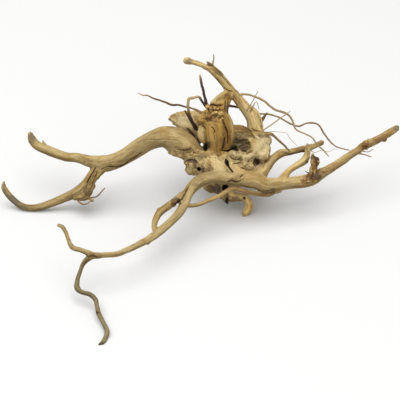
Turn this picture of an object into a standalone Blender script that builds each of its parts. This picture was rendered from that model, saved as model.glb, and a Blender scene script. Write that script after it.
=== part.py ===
"""Spiderwood root: one weathered azalea root, a knotty burl with long roots and thin rootlets.

The scene is in metres and the tables are in millimetres. +Z is up and the front faces -Y.
The wood grew as one piece, so it is one object: every limb is a tube swept along a smooth line,
every swelling of the burl is a lump, and a Boolean union joins them into one solid.
It rests on four low points that are ground flat on z = 0.
"""

import math

import bmesh
import bpy
from mathutils import Vector, noise

MM = 0.001

# How the wood is measured: stations are (across, up, out, radius) in millimetres, as the root is
# seen from SIGHT away and TILT above the horizon. Across runs to the right, up is up in that view,
# and out is towards the eye. Across, up and radius are those seen at the burl, where out is 0.
TILT = math.radians(35.0)
SIGHT = 1600.0
EYE_LINE_HEIGHT = 16.0
ORIGIN_ACROSS = 1.1
ORIGIN_BACK = -63.3

WOOD_COLOUR = (0.56, 0.42, 0.24, 1.0)
WOOD_ROUGHNESS = 0.85

NODE_NAME = "spiderwood_root"
TIP_SHARES = ((0.45, 0.86), (0.78, 0.5))
TIP_REACH = 0.9

# Limbs: name, sides, ring spacing, flute count, flute depth as a share of the radius, stations.
LIMBS = (
    ("left_arm", 12, 9, 5, 0.05, (
        (8, 35, 6, 12), (0, 40, 7, 11), (-7, 46, 8, 11), (-14, 53, 8, 13), (-25, 59.7, 8, 13.3),
        (-36, 63.2, 8, 10.8), (-49, 59.2, 6, 9), (-62, 51.8, 4, 8.8), (-74.5, 43.8, 2, 7.9),
        (-87.2, 38, 0, 8), (-98, 36.3, -2, 8.2), (-110, 38.6, -4, 6), (-122, 42, -8, 4.9),
        (-133, 43, -12, 4.6), (-144, 46.5, -16, 4.7), (-154, 50.6, -20, 4.7),
        (-162, 54, -24, 5), (-167.5, 59.6, -27, 4.7), (-169.7, 65.4, -29, 2.8))),
    ("left_hook", 9, 7.5, 4, 0.06, (
        (-102, 31, -2, 6), (-107, 25.5, -3, 5.2), (-112.5, 18, -4, 4.8), (-118, 11.5, -5, 5.4),
        (-126, 6.4, -6, 5), (-136, 2, -8, 4.4), (-147, -2.6, -9, 3.9), (-158, -6.4, -10, 3.7),
        (-169, -7.9, -11, 3.4), (-178, -6.2, -11.5, 3.3), (-185.6, -0.8, -11.5, 3.2),
        (-192.5, 6.3, -11.5, 3.2), (-196.2, 12.7, -11.5, 2.7), (-196.2, 18.3, -11.5, 0.9))),
    ("hook_knuckle", 8, 4.5, 3, 0.1, (
        (-107.5, 14, 0, 3.2), (-112, 9, 2, 4.4), (-116, 4, 2, 4.9), (-121.5, 2.6, 1, 3.6),
        (-126, 1.4, 0, 1.8))),
    ("hook_strand", 7, 4.5, 2, 0.1, (
        (-90, 36, 2, 3.5), (-97, 30.5, 3, 3.6), (-102, 24.5, 3, 2.7), (-107.2, 18.5, 3, 2.3),
        (-109, 13, 3, 2.3), (-110.5, 6, 4, 2.4))),
    ("knuckle_stub", 6, 3, 3, 0.1, (
        (-114, 4, 2, 2), (-110.5, 1.5, 4, 1.9), (-107.4, -0.6, 5, 1.7))),
    ("front_limb", 9, 7.5, 4, 0.06, (
        (36, 20, 18, 9), (26, 20, 24, 8.5), (13, 21.5, 28, 7.4), (0, 18.8, 31, 6.7),
        (-8, 12.4, 35, 5.9), (-13.2, 4, 41, 5.3), (-16.4, -5.4, 48, 4.5),
        (-22.6, -15.2, 56, 4.2), (-31.8, -24.3, 66, 4.1), (-41.8, -32.5, 74, 4.1),
        (-51.2, -39.2, 81, 3.7), (-62, -44.9, 88, 3.3), (-72, -49.6, 94, 3),
        (-83, -54, 99, 2.8), (-95, -55, 102, 2.8), (-105, -55.6, 105, 3.3),
        (-112, -52.8, 106, 2.8), (-119.8, -50, 106, 2.5), (-126.3, -48.3, 105, 2.6),
        (-129.4, -45, 104, 2.4), (-132, -38.5, 102, 2.1), (-134.7, -31.2, 99, 2.1),
        (-138, -26.6, 97, 2.1), (-141.4, -25.3, 96, 1.8))),
    ("front_foot", 7, 6.5, 3, 0.07, (
        (-105, -55.5, 105, 2.7), (-113, -59.5, 105, 2.7), (-117.4, -65, 106, 2.3),
        (-120.5, -72.5, 108, 2.2), (-122.5, -80.5, 111, 2.4), (-122.3, -87, 114, 2.7),
        (-117.8, -92, 117, 2.6), (-110, -94.4, 119, 2.5), (-104.8, -99.2, 123, 2.5),
        (-102.8, -107, 128, 2.4), (-101.3, -113.6, 133, 2.6), (-97.5, -121, 139, 2.3),
        (-93, -130.8, 148, 2.6), (-94.8, -138, 153, 2.5), (-97.4, -142.8, 157, 2.1),
        (-100.6, -144.4, 158, 1.5))),
    ("side_loop", 7, 7, 3, 0.08, (
        (-8, 12, 33, 3.5), (-17.4, 4.5, 36, 3.8), (-24.6, -1, 41, 4), (-32.6, -6.8, 47, 3.7),
        (-40.2, -12.5, 54, 3.8), (-44.3, -19.5, 62, 3.2), (-45.6, -27.4, 70, 2.9),
        (-43, -34, 75, 2.7))),
    ("stretcher", 6, 8, 2, 0.08, (
        (-15, -5.4, 46, 2.1), (-9.5, -5.7, 44, 2), (-2, -4.6, 40, 2.1), (6, -1.6, 37, 2.1),
        (14, 1.8, 34, 2.1), (21, 5, 32, 2.1), (27.5, 9.4, 30, 2.2), (33.5, 11.4, 28, 2.3),
        (41, 9.8, 26, 2.4), (49, 7.6, 23, 2.4), (59, 6, 20, 2.4), (69, 6.2, 17, 3),
        (77, 11, 14, 3.2))),
    ("right_limb", 11, 9, 4, 0.06, (
        (30, 21, 18, 8.6), (46, 20.5, 18, 9.2), (56, 19, 18, 9), (66, 15, 17, 7.6),
        (80, 16, 15, 6.4), (94, 17.4, 12, 5.9), (105, 18.6, 10, 6.2), (113, 21.6, 8, 6.6),
        (121.5, 26.6, 4, 5.5), (131, 32, 0, 4.6), (142, 38.8, -4, 4.2), (151, 45.3, -8, 3.8),
        (161, 51.8, -12, 3.9), (167, 55.5, -15, 4.5), (177, 60.3, -18, 4.3),
        (188, 66.2, -22, 4.2), (196.3, 71.7, -25, 3.5))),
    ("upper_fork", 8, 7, 4, 0.07, (
        (58, 22, 16, 6.5), (62.6, 26.8, 11, 5.4), (67.7, 33.4, 5, 4.3), (74, 41.6, -2, 4),
        (81.5, 46.7, -8, 4.2), (91, 48.2, -13, 3.2), (103, 51.1, -19, 3.2), (113, 53.5, -23, 2.7),
        (122.4, 57.5, -27, 2))),
    ("lower_fork", 8, 6.5, 4, 0.07, (
        (81, 19, 14, 4.5), (85, 24.7, 12, 3.6), (90.5, 30.4, 9, 3.2), (97.5, 34.8, 5, 3.4),
        (104.2, 39.4, 1, 3.9), (107.3, 45.8, -5, 3.3), (107.8, 51.8, -10, 2.8),
        (106.9, 55.8, -13, 1.6))),
    ("dark_stub", 9, 4.5, 5, 0.1, (
        (112, 22, 8, 5), (113.6, 29, 9, 5), (114.6, 34, 9, 4.5), (115.4, 38.4, 9, 4.8),
        (114.3, 42.6, 9, 3), (113, 45.6, 9, 1.9))),
    ("arch", 10, 7, 4, 0.06, (
        (60, 54, -6, 10), (57, 64, -5, 8.2), (54.8, 73, -4, 6.8), (52.8, 81.5, -3, 6.1),
        (47.8, 89.6, -2, 5.9), (41.4, 97.2, -1, 5.6), (35.6, 103.8, 0, 5), (30.6, 108.6, 1, 4.4),
        (25.3, 113.8, 2, 3.7), (20.3, 120, 3, 3.5), (15.6, 125.4, 4, 3.8), (10.2, 130.2, 5, 3.3),
        (2.7, 134.4, 6, 2.9), (-4.8, 137.3, 7, 2.8), (-10, 138.6, 8, 3.4),
        (-13, 139.4, 8, 3.8))),
    ("crown_strand", 6, 8, 2, 0.08, (
        (38, 104, 3, 2.3), (33, 110.8, 4, 2), (26.8, 118.4, 5, 1.9), (20.7, 125.9, 6, 2.1),
        (14.2, 132.2, 7, 1.9), (10, 135.8, 7.5, 1.6), (7, 138.2, 8, 1.1))),
    ("spire", 14, 8, 7, 0.09, (
        (24, 36, 2, 13), (21, 50, 5, 13), (18.5, 61, 8, 15), (16.8, 71, 8, 17.4),
        (16.6, 82, 7, 15.2), (19.2, 92, 5, 10.6), (24.4, 100.5, 3, 7.2), (29.6, 106.4, 1, 5.2),
        (35, 106.5, 0, 4))),
    ("back_wedge", 12, 7, 3, 0.08, (
        (14, 68, -14, 15), (3, 74, -18, 15), (-8, 78.5, -21, 11), (-19, 81.2, -23, 7.5),
        (-27, 82.4, -24, 4), (-30.5, 82.7, -24.5, 1.6))),
    ("under_hook", 9, 6, 4, 0.08, (
        (18, 22, 0, 13), (23, 12, 0, 8.5), (30, 4.5, -1, 6.2), (38, 2.8, -2, 4.3),
        (45, 1.8, -3, 3.8), (49.5, -3.4, -4, 3.8), (48.5, -8.5, -4.5, 4.2), (45.4, -12.8, -5, 3.6),
        (43.6, -15.9, -5.3, 1.7))),
    ("under_spike", 6, 4, 3, 0.1, (
        (18, 12, 6, 5), (22, 7, 7, 3.8), (25.4, 1.5, 8, 3.2), (28, -4, 8, 1))),
    ("rear_foot", 10, 8, 4, 0.1, (
        (38, 42, -14, 14), (44, 39, -30, 9.5), (51, 33, -46, 7.4), (53, 28.6, -60, 5.6),
        (51, 26.6, -67.5, 4), (48.5, 26.5, -71, 2.4))),
)

# Rootlets: name, stations. They are thin, so they have few sides.
ROOTLETS = (
    ("spike", (
        (7.5, 92, 6, 1.9), (4.9, 102, 6, 1.5), (2.8, 112, 6.5, 1.4), (1, 120, 7, 1.2),
        (-0.2, 124.5, 7, 1.3))),
    ("bent_rootlet", (
        (8, 91, 7, 1.6), (1.6, 99, 10, 1.4), (-1.4, 103.3, 12, 1.4), (-6, 102.8, 13, 1.5),
        (-11.3, 102, 13, 2), (-12.4, 97, 12, 1.7), (-12.2, 90, 10, 1.6), (-9.8, 83, 7, 1.7),
        (-6, 75, 1, 1.7), (-2, 70, -4, 1.6))),
    ("cross_rootlet", (
        (-15, 89, 14, 0.9), (-11.5, 83.5, 12, 1.2), (-7.5, 77, 7, 1.6), (-3, 70, 0, 1.7))),
    ("left_rootlet", (
        (6, 84, 6, 2), (-2, 89.4, 2, 1.3), (-9, 92, 0, 1.1), (-15, 93.6, -1, 1),
        (-21.5, 95.8, -2, 1.2), (-28, 95.4, -3, 1.2), (-34.5, 98, -4, 1.2),
        (-41.4, 100.3, -5, 1.1), (-47, 101.6, -6, 0.9), (-52.2, 104.6, -7, 0.8),
        (-57, 104.7, -8, 0.7), (-61.5, 107, -9, 0.7))),
    ("top_rootlet", (
        (36, 103, 0, 2), (43.5, 105.9, -1, 1.3), (53.6, 103.8, -3, 1.3), (63.8, 99.2, -5, 1.3),
        (74, 91, -7, 1.3), (86.5, 86.4, -8, 1.2), (92, 80, -8, 1.1), (95.7, 70.7, -7, 1),
        (105.7, 66, -6, 0.9), (112.3, 62.2, -5, 0.9), (117.3, 55.4, -4, 0.9),
        (122.4, 50.6, -3, 0.8), (128.8, 43.7, -2, 0.7))),
    ("middle_rootlet", (
        (26, 95, 0, 1.8), (37, 92.8, -8, 1.2), (47, 90, -12, 1.1), (59.9, 86.4, -14, 1),
        (68.9, 85.7, -15, 1), (79, 82.6, -16, 1), (88, 77.6, -16, 1), (98.2, 73.7, -15, 1.1),
        (107, 76.9, -14, 1), (114.8, 76.8, -13, 1), (120, 73.5, -13, 1), (125, 64.8, -14, 1),
        (131.4, 57.2, -15, 0.9), (138, 52.6, -17, 0.8), (149.5, 49.8, -19, 0.8))),
    ("arch_stub", (
        (57, 72, -3, 2.4), (62.5, 80.5, -5, 1.8), (67, 86.8, -6, 1.3))),
    ("cross_root", (
        (26, 69.5, 6, 3.2), (36, 72.4, 8, 3), (43, 71.6, 8, 2.8), (50, 68.4, 8, 2.3),
        (57, 66.2, 8, 2), (64, 65.8, 7, 1.7), (70.8, 66.1, 6, 1.7), (75, 63, 5, 1.3),
        (81, 57.6, 2, 1.2), (85.5, 53, -1, 1.1), (90, 48.6, -4, 1))),
    ("rising_rootlet", (
        (58, 66.4, 8, 1.2), (66, 71.6, 7, 1), (75, 77.8, 7, 0.9), (83, 83.8, 7, 0.9),
        (90.2, 89, 7, 0.8))),
    ("arch_twig", (
        (47, 90, 4, 1.2), (51.7, 97.3, 5, 0.9), (55.6, 104.3, 5, 0.9), (57.8, 108.4, 5, 0.8))),
    ("knuckle_arc", (
        (-124, 3.4, 2, 1.2), (-121.5, -1.4, 3, 1), (-117, -4.2, 4, 1), (-112.5, -3.4, 5, 1),
        (-109.5, -1, 5, 1))),
    ("fork_hair", (
        (112, 26, 10, 1.5), (107.4, 27.5, 12, 1.1), (105, 29, 13, 0.9))),
    ("limb_nub", (
        (-153, 52, -18, 3), (-155.6, 58.6, -19, 1.3))),
    ("draped_root", (
        (47, 71, 8, 1.6), (54, 66, 11, 1.9), (59, 60.5, 11, 1.7), (63, 56, 7, 1.4))),
    ("crown_twig", (
        (12.5, 131, 5, 1), (13.1, 140, 6, 0.75), (13.8, 145.2, 6, 0.7))),
    ("limb_twig", (
        (152, 47, -8, 1.6), (163, 45.7, -9, 0.8), (171.6, 43, -8, 0.7))),
    ("knuckle_twig", (
        (-110, 2, 3, 1), (-105, 3, 4, 0.7), (-102, 4.5, 5, 0.7), (-95, 12, 8, 0.7))),
)
ROOTLET_SIDES = 5
ROOTLET_SPACING = 9.0

# Swellings of the burl: across, up, out, and the half sizes across, up and out.
LUMPS = (
    (30, 32, 0, 26, 20, 24),
    (53.5, 51.5, -6, 18, 18, 18),
    (62, 59.5, -3, 10, 9.5, 11),
    (50, 34, 2, 15, 13, 17),
    (6, 34, 6, 14, 13, 15),
    (-5, 33.2, 8, 9.8, 9.2, 9),
    (14, 16, 0, 11, 9.5, 13),
    (34, 50, -18, 22, 20, 16),
    (6, 52, -16, 13, 15, 9),
)
LUMP_ROUGHNESS = 0.16
LUMP_GRAIN = 9.0
LUMP_FINENESS = 3
HOLLOW_FINENESS = 2

# Hollows rotted into the burl: across, up, out, and the half sizes across, up and out.
HOLLOWS = (
    (57, 38, 22, 4.2, 4.4, 12),
    (28.5, 35, 28, 2.2, 5, 12),
    (43, 57, 14, 8.5, 7, 9),
    (-0.5, 31, 17, 2, 2.4, 6),
    (2, 55.6, -16, 1.5, 1.8, 40),
)


def place(across, up, out):
    """The scene point, in metres, that lies at these sighted millimetres."""
    shrink = (SIGHT - out) / SIGHT
    seen_up = up * shrink
    x = across * shrink - ORIGIN_ACROSS
    y = seen_up * math.sin(TILT) - out * math.cos(TILT) - ORIGIN_BACK
    z = seen_up * math.cos(TILT) + out * math.sin(TILT) + EYE_LINE_HEIGHT
    return Vector((x, y, z)) * MM


def smooth_line(stations, spacing):
    """Points and radii, spacing millimetres apart, on a Catmull-Rom curve through the stations."""
    knots = []
    for across, up, out, radius in stations:
        shrink = (SIGHT - out) / SIGHT
        knots.append((*place(across, up, out), radius * shrink * MM))
    first = [2 * a - b for a, b in zip(knots[0], knots[1])]
    last = [2 * a - b for a, b in zip(knots[-1], knots[-2])]
    knots = [first, *knots, last]
    line = []
    for before, start, end, after in zip(knots, knots[1:], knots[2:], knots[3:]):
        gap = (Vector(end[:3]) - Vector(start[:3])).length
        steps = max(1, round(gap / (spacing * MM)))
        for step in range(steps):
            t = step / steps
            line.append([
                0.5 * (2 * s + (e - b) * t + (2 * b - 5 * s + 4 * e - a) * t ** 2
                       + (3 * s - b - 3 * e + a) * t ** 3)
                for b, s, e, a in zip(before, start, end, after)])
    line.append(knots[-2])
    return [Vector(point[:3]) for point in line], [point[3] for point in line]


def ring(bm, centre, side, over, radius, sides, flutes, depth, turn):
    """One closed ring of vertices as large as its circle, its radius rising and falling in flutes."""
    made = []
    full = math.sqrt(2 * math.pi / (sides * math.sin(2 * math.pi / sides)))
    for index in range(sides):
        angle = 2 * math.pi * index / sides
        swell = full + depth * math.cos(flutes * angle + turn)
        spoke = side * math.cos(angle) + over * math.sin(angle)
        made.append(bm.verts.new(centre + spoke * radius * swell))
    return made


def bridge(bm, lower, upper):
    """Quads between two rings with the same number of vertices."""
    count = len(lower)
    for index in range(count):
        after = (index + 1) % count
        bm.faces.new((lower[index], lower[after], upper[after], upper[index]))


def tube(name, sides, spacing, flutes, depth, stations):
    """A closed tube along the stations, flat at its buried start and rounded at its tip."""
    points, radii = smooth_line(stations, spacing)
    bm = bmesh.new()
    heading = (points[1] - points[0]).normalized()
    side = heading.orthogonal().normalized()
    rings = []
    travelled = 0.0
    for index, centre in enumerate(points):
        before = points[max(index - 1, 0)]
        after = points[min(index + 1, len(points) - 1)]
        heading = (after - before).normalized()
        side = (side - heading * side.dot(heading)).normalized()
        travelled += (centre - before).length / MM
        rings.append(ring(bm, centre, side, heading.cross(side), radii[index],
                          sides, flutes, depth, travelled * 0.05))
    for reach, share in TIP_SHARES:
        centre = points[-1] + heading * radii[-1] * reach
        rings.append(ring(bm, centre, side, heading.cross(side), radii[-1] * share,
                          sides, flutes, depth, travelled * 0.05))
    for lower, upper in zip(rings, rings[1:]):
        bridge(bm, lower, upper)
    bm.faces.new(reversed(rings[0]))
    point = bm.verts.new(points[-1] + heading * radii[-1] * TIP_REACH)
    for index in range(sides):
        bm.faces.new((rings[-1][index], rings[-1][(index + 1) % sides], point))
    return finished(name, bm)


def lump(name, across, up, out, half_across, half_up, half_out, rough, fineness):
    """An ellipsoid with its axes along the sight, roughened by noise along its own normals."""
    bm = bmesh.new()
    bmesh.ops.create_icosphere(bm, subdivisions=fineness, radius=1.0)
    for vert in bm.verts:
        x, y, z = vert.co
        swell = 1 + rough * noise.noise(vert.co * 1.7 + Vector((across, up, out)) / LUMP_GRAIN)
        vert.co = place(across + x * half_across * swell,
                        up + y * half_up * swell,
                        out + z * half_out * swell)
    return finished(name, bm)


def finished(name, bm):
    """Turns a bmesh into a triangulated object whose faces point outwards."""
    bmesh.ops.triangulate(bm, faces=bm.faces)
    bmesh.ops.recalc_face_normals(bm, faces=bm.faces)
    mesh = bpy.data.meshes.new(name)
    bm.to_mesh(mesh)
    bm.free()
    obj = bpy.data.objects.new(name, mesh)
    bpy.context.scene.collection.objects.link(obj)
    return obj


def combine(target, others, operation):
    """Applies one Boolean of the others, gathered in a collection, to the target and removes them."""
    group = bpy.data.collections.new("operands")
    for other in others:
        group.objects.link(other)
    modifier = target.modifiers.new("combine", "BOOLEAN")
    modifier.operation = operation
    modifier.operand_type = "COLLECTION"
    modifier.collection = group
    modifier.solver = "EXACT"
    modifier.use_self = operation == "UNION"
    graph = bpy.context.evaluated_depsgraph_get()
    result = bpy.data.meshes.new_from_object(target.evaluated_get(graph))
    target.modifiers.clear()
    target.data = result
    for other in others:
        bpy.data.objects.remove(other)
    bpy.data.collections.remove(group)


def rest_on_floor(obj):
    """Grinds off what is below z = 0, which leaves a small flat spot at each low point."""
    bm = bmesh.new()
    bm.from_mesh(obj.data)
    everything = bm.verts[:] + bm.edges[:] + bm.faces[:]
    bmesh.ops.bisect_plane(bm, geom=everything, dist=1e-7, plane_co=(0, 0, 0),
                           plane_no=(0, 0, 1), clear_inner=True)
    bmesh.ops.holes_fill(bm, edges=[e for e in bm.edges if e.is_boundary])
    bmesh.ops.triangulate(bm, faces=bm.faces)
    bm.to_mesh(obj.data)
    bm.free()


def keep_outer_skin(obj):
    """Drops the small skins that the union leaves inside the burl and keeps the largest one."""
    bm = bmesh.new()
    bm.from_mesh(obj.data)
    unseen = set(bm.faces)
    skins = []
    while unseen:
        skin = {unseen.pop()}
        edge_of_skin = list(skin)
        while edge_of_skin:
            face = edge_of_skin.pop()
            for edge in face.edges:
                for other in edge.link_faces:
                    if other in unseen:
                        unseen.remove(other)
                        skin.add(other)
                        edge_of_skin.append(other)
        skins.append(skin)
    largest = max(skins, key=len)
    spare = [face for skin in skins if skin is not largest for face in skin]
    bmesh.ops.delete(bm, geom=spare, context="FACES")
    bm.to_mesh(obj.data)
    bm.free()


def wood_material():
    """Pale, dry, matt driftwood."""
    material = bpy.data.materials.new("weathered_wood")
    material.use_nodes = True
    shader = material.node_tree.nodes["Principled BSDF"]
    shader.inputs["Base Color"].default_value = WOOD_COLOUR
    shader.inputs["Roughness"].default_value = WOOD_ROUGHNESS
    shader.inputs["Metallic"].default_value = 0.0
    return material


def main():
    for old in list(bpy.data.objects):
        bpy.data.objects.remove(old)
    limbs = [tube(*limb) for limb in LIMBS]
    rootlets = [tube(name, ROOTLET_SIDES, ROOTLET_SPACING, 2, 0.05, stations)
                for name, stations in ROOTLETS]
    lumps = [lump(f"lump_{index}", *shape, LUMP_ROUGHNESS, LUMP_FINENESS)
             for index, shape in enumerate(LUMPS)]
    hollows = [lump(f"hollow_{index}", *shape, 0.0, HOLLOW_FINENESS)
               for index, shape in enumerate(HOLLOWS)]
    root = limbs[0]
    combine(root, limbs[1:] + lumps, "UNION")
    keep_outer_skin(root)
    combine(root, hollows, "DIFFERENCE")
    combine(root, rootlets, "UNION")
    rest_on_floor(root)
    keep_outer_skin(root)
    root.name = NODE_NAME
    root.data.name = NODE_NAME
    root.data.materials.clear()
    root.data.materials.append(wood_material())
    root.data.shade_smooth()
    root.data.set_sharp_from_angle(angle=math.radians(50))


main()
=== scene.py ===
"""Spiderwood root, dressed: carved burl, ridged limbs, twisting rootlets, dry wood finish and stage.

The file is laid out as an add-on and run as a script. All shapes are worked out with numpy in
millimetres in the row frame, and written into meshes in metres.
"""

import math

import bpy
import numpy as np
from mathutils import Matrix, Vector
from mathutils.bvhtree import BVHTree


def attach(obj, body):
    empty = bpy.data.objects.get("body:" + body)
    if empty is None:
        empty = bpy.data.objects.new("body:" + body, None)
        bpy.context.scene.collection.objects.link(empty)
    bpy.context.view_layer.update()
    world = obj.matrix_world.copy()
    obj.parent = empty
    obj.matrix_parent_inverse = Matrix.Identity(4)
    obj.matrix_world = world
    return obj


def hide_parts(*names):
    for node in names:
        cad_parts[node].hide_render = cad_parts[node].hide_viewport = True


bl_info = {
    "name": "Spiderwood Root",
    "version": (1, 0, 0),
    "blender": (4, 5, 0),
    "location": "View3D > Sidebar > Spiderwood",
    "description": "Builds a weathered spiderwood root and its studio",
    "category": "Object",
}

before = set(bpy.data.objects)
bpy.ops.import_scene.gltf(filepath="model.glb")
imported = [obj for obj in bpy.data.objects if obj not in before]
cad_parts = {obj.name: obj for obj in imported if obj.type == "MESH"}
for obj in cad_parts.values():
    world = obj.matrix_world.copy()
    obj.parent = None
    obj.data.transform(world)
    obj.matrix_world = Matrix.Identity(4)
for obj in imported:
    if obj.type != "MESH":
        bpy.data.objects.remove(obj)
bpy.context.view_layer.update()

NODE = "spiderwood_root"
SLOT = "weathered_wood"
MM = 0.001

# Seeds of the noises. Limbs and swellings count up from 1 and 0.
HOLLOW_SEED = 31
SPLINTER_SEED = 61
RAGGED_SEED = 62
CORK_SEED = 77
ROUTE_SEED = 9
MARK_SEED = 5
ROOTLET_SEED = 201
BEND_SEEDS = (300, 500, 700)

# How finely limbs and swellings are drawn before they are joined, and how rough they start.
LIMB_SPACING = 1.6
THICK_LIMB = 6
THICK_SIDES = 40
THIN_SIDES = 20
BALL_RINGS = 32
BALL_SIDES = 48
LUMP_ROUGHNESS = 0.1
HOLLOW_ROUGHNESS = 0.26

# Painted shade in folds and crevices: rounds of smoothing, and the depths in mm at which folds and
# crevices are painted fully dark.
FOLD_SHADE_ROUNDS = 24
FOLD_SHADE_DEPTH = 1.6
CREVICE_SHADE_DEPTH = 0.16

# What a mark gives well outside it, and how far apart, in mm, the limbs' fibres are counted.
OUTSIDE = -0.5
FIBRE_APART = 400

# The photograph's frame, in pixels, and how the wood is measured in it. Stations are (across, up,
# out, radius) in millimetres, as seen from SIGHT away and TILT above the horizon. One pixel is one
# millimetre at the burl, where out is 0. Out is towards the eye.
PICTURE_WIDTH = 400.0
SENSOR_WIDTH = 36.0
TILT = math.radians(35.0)
SIGHT = 1600.0
EYE_LINE_HEIGHT = 16.0
ORIGIN_ACROSS = 1.1
ORIGIN_BACK = -63.3

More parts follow.
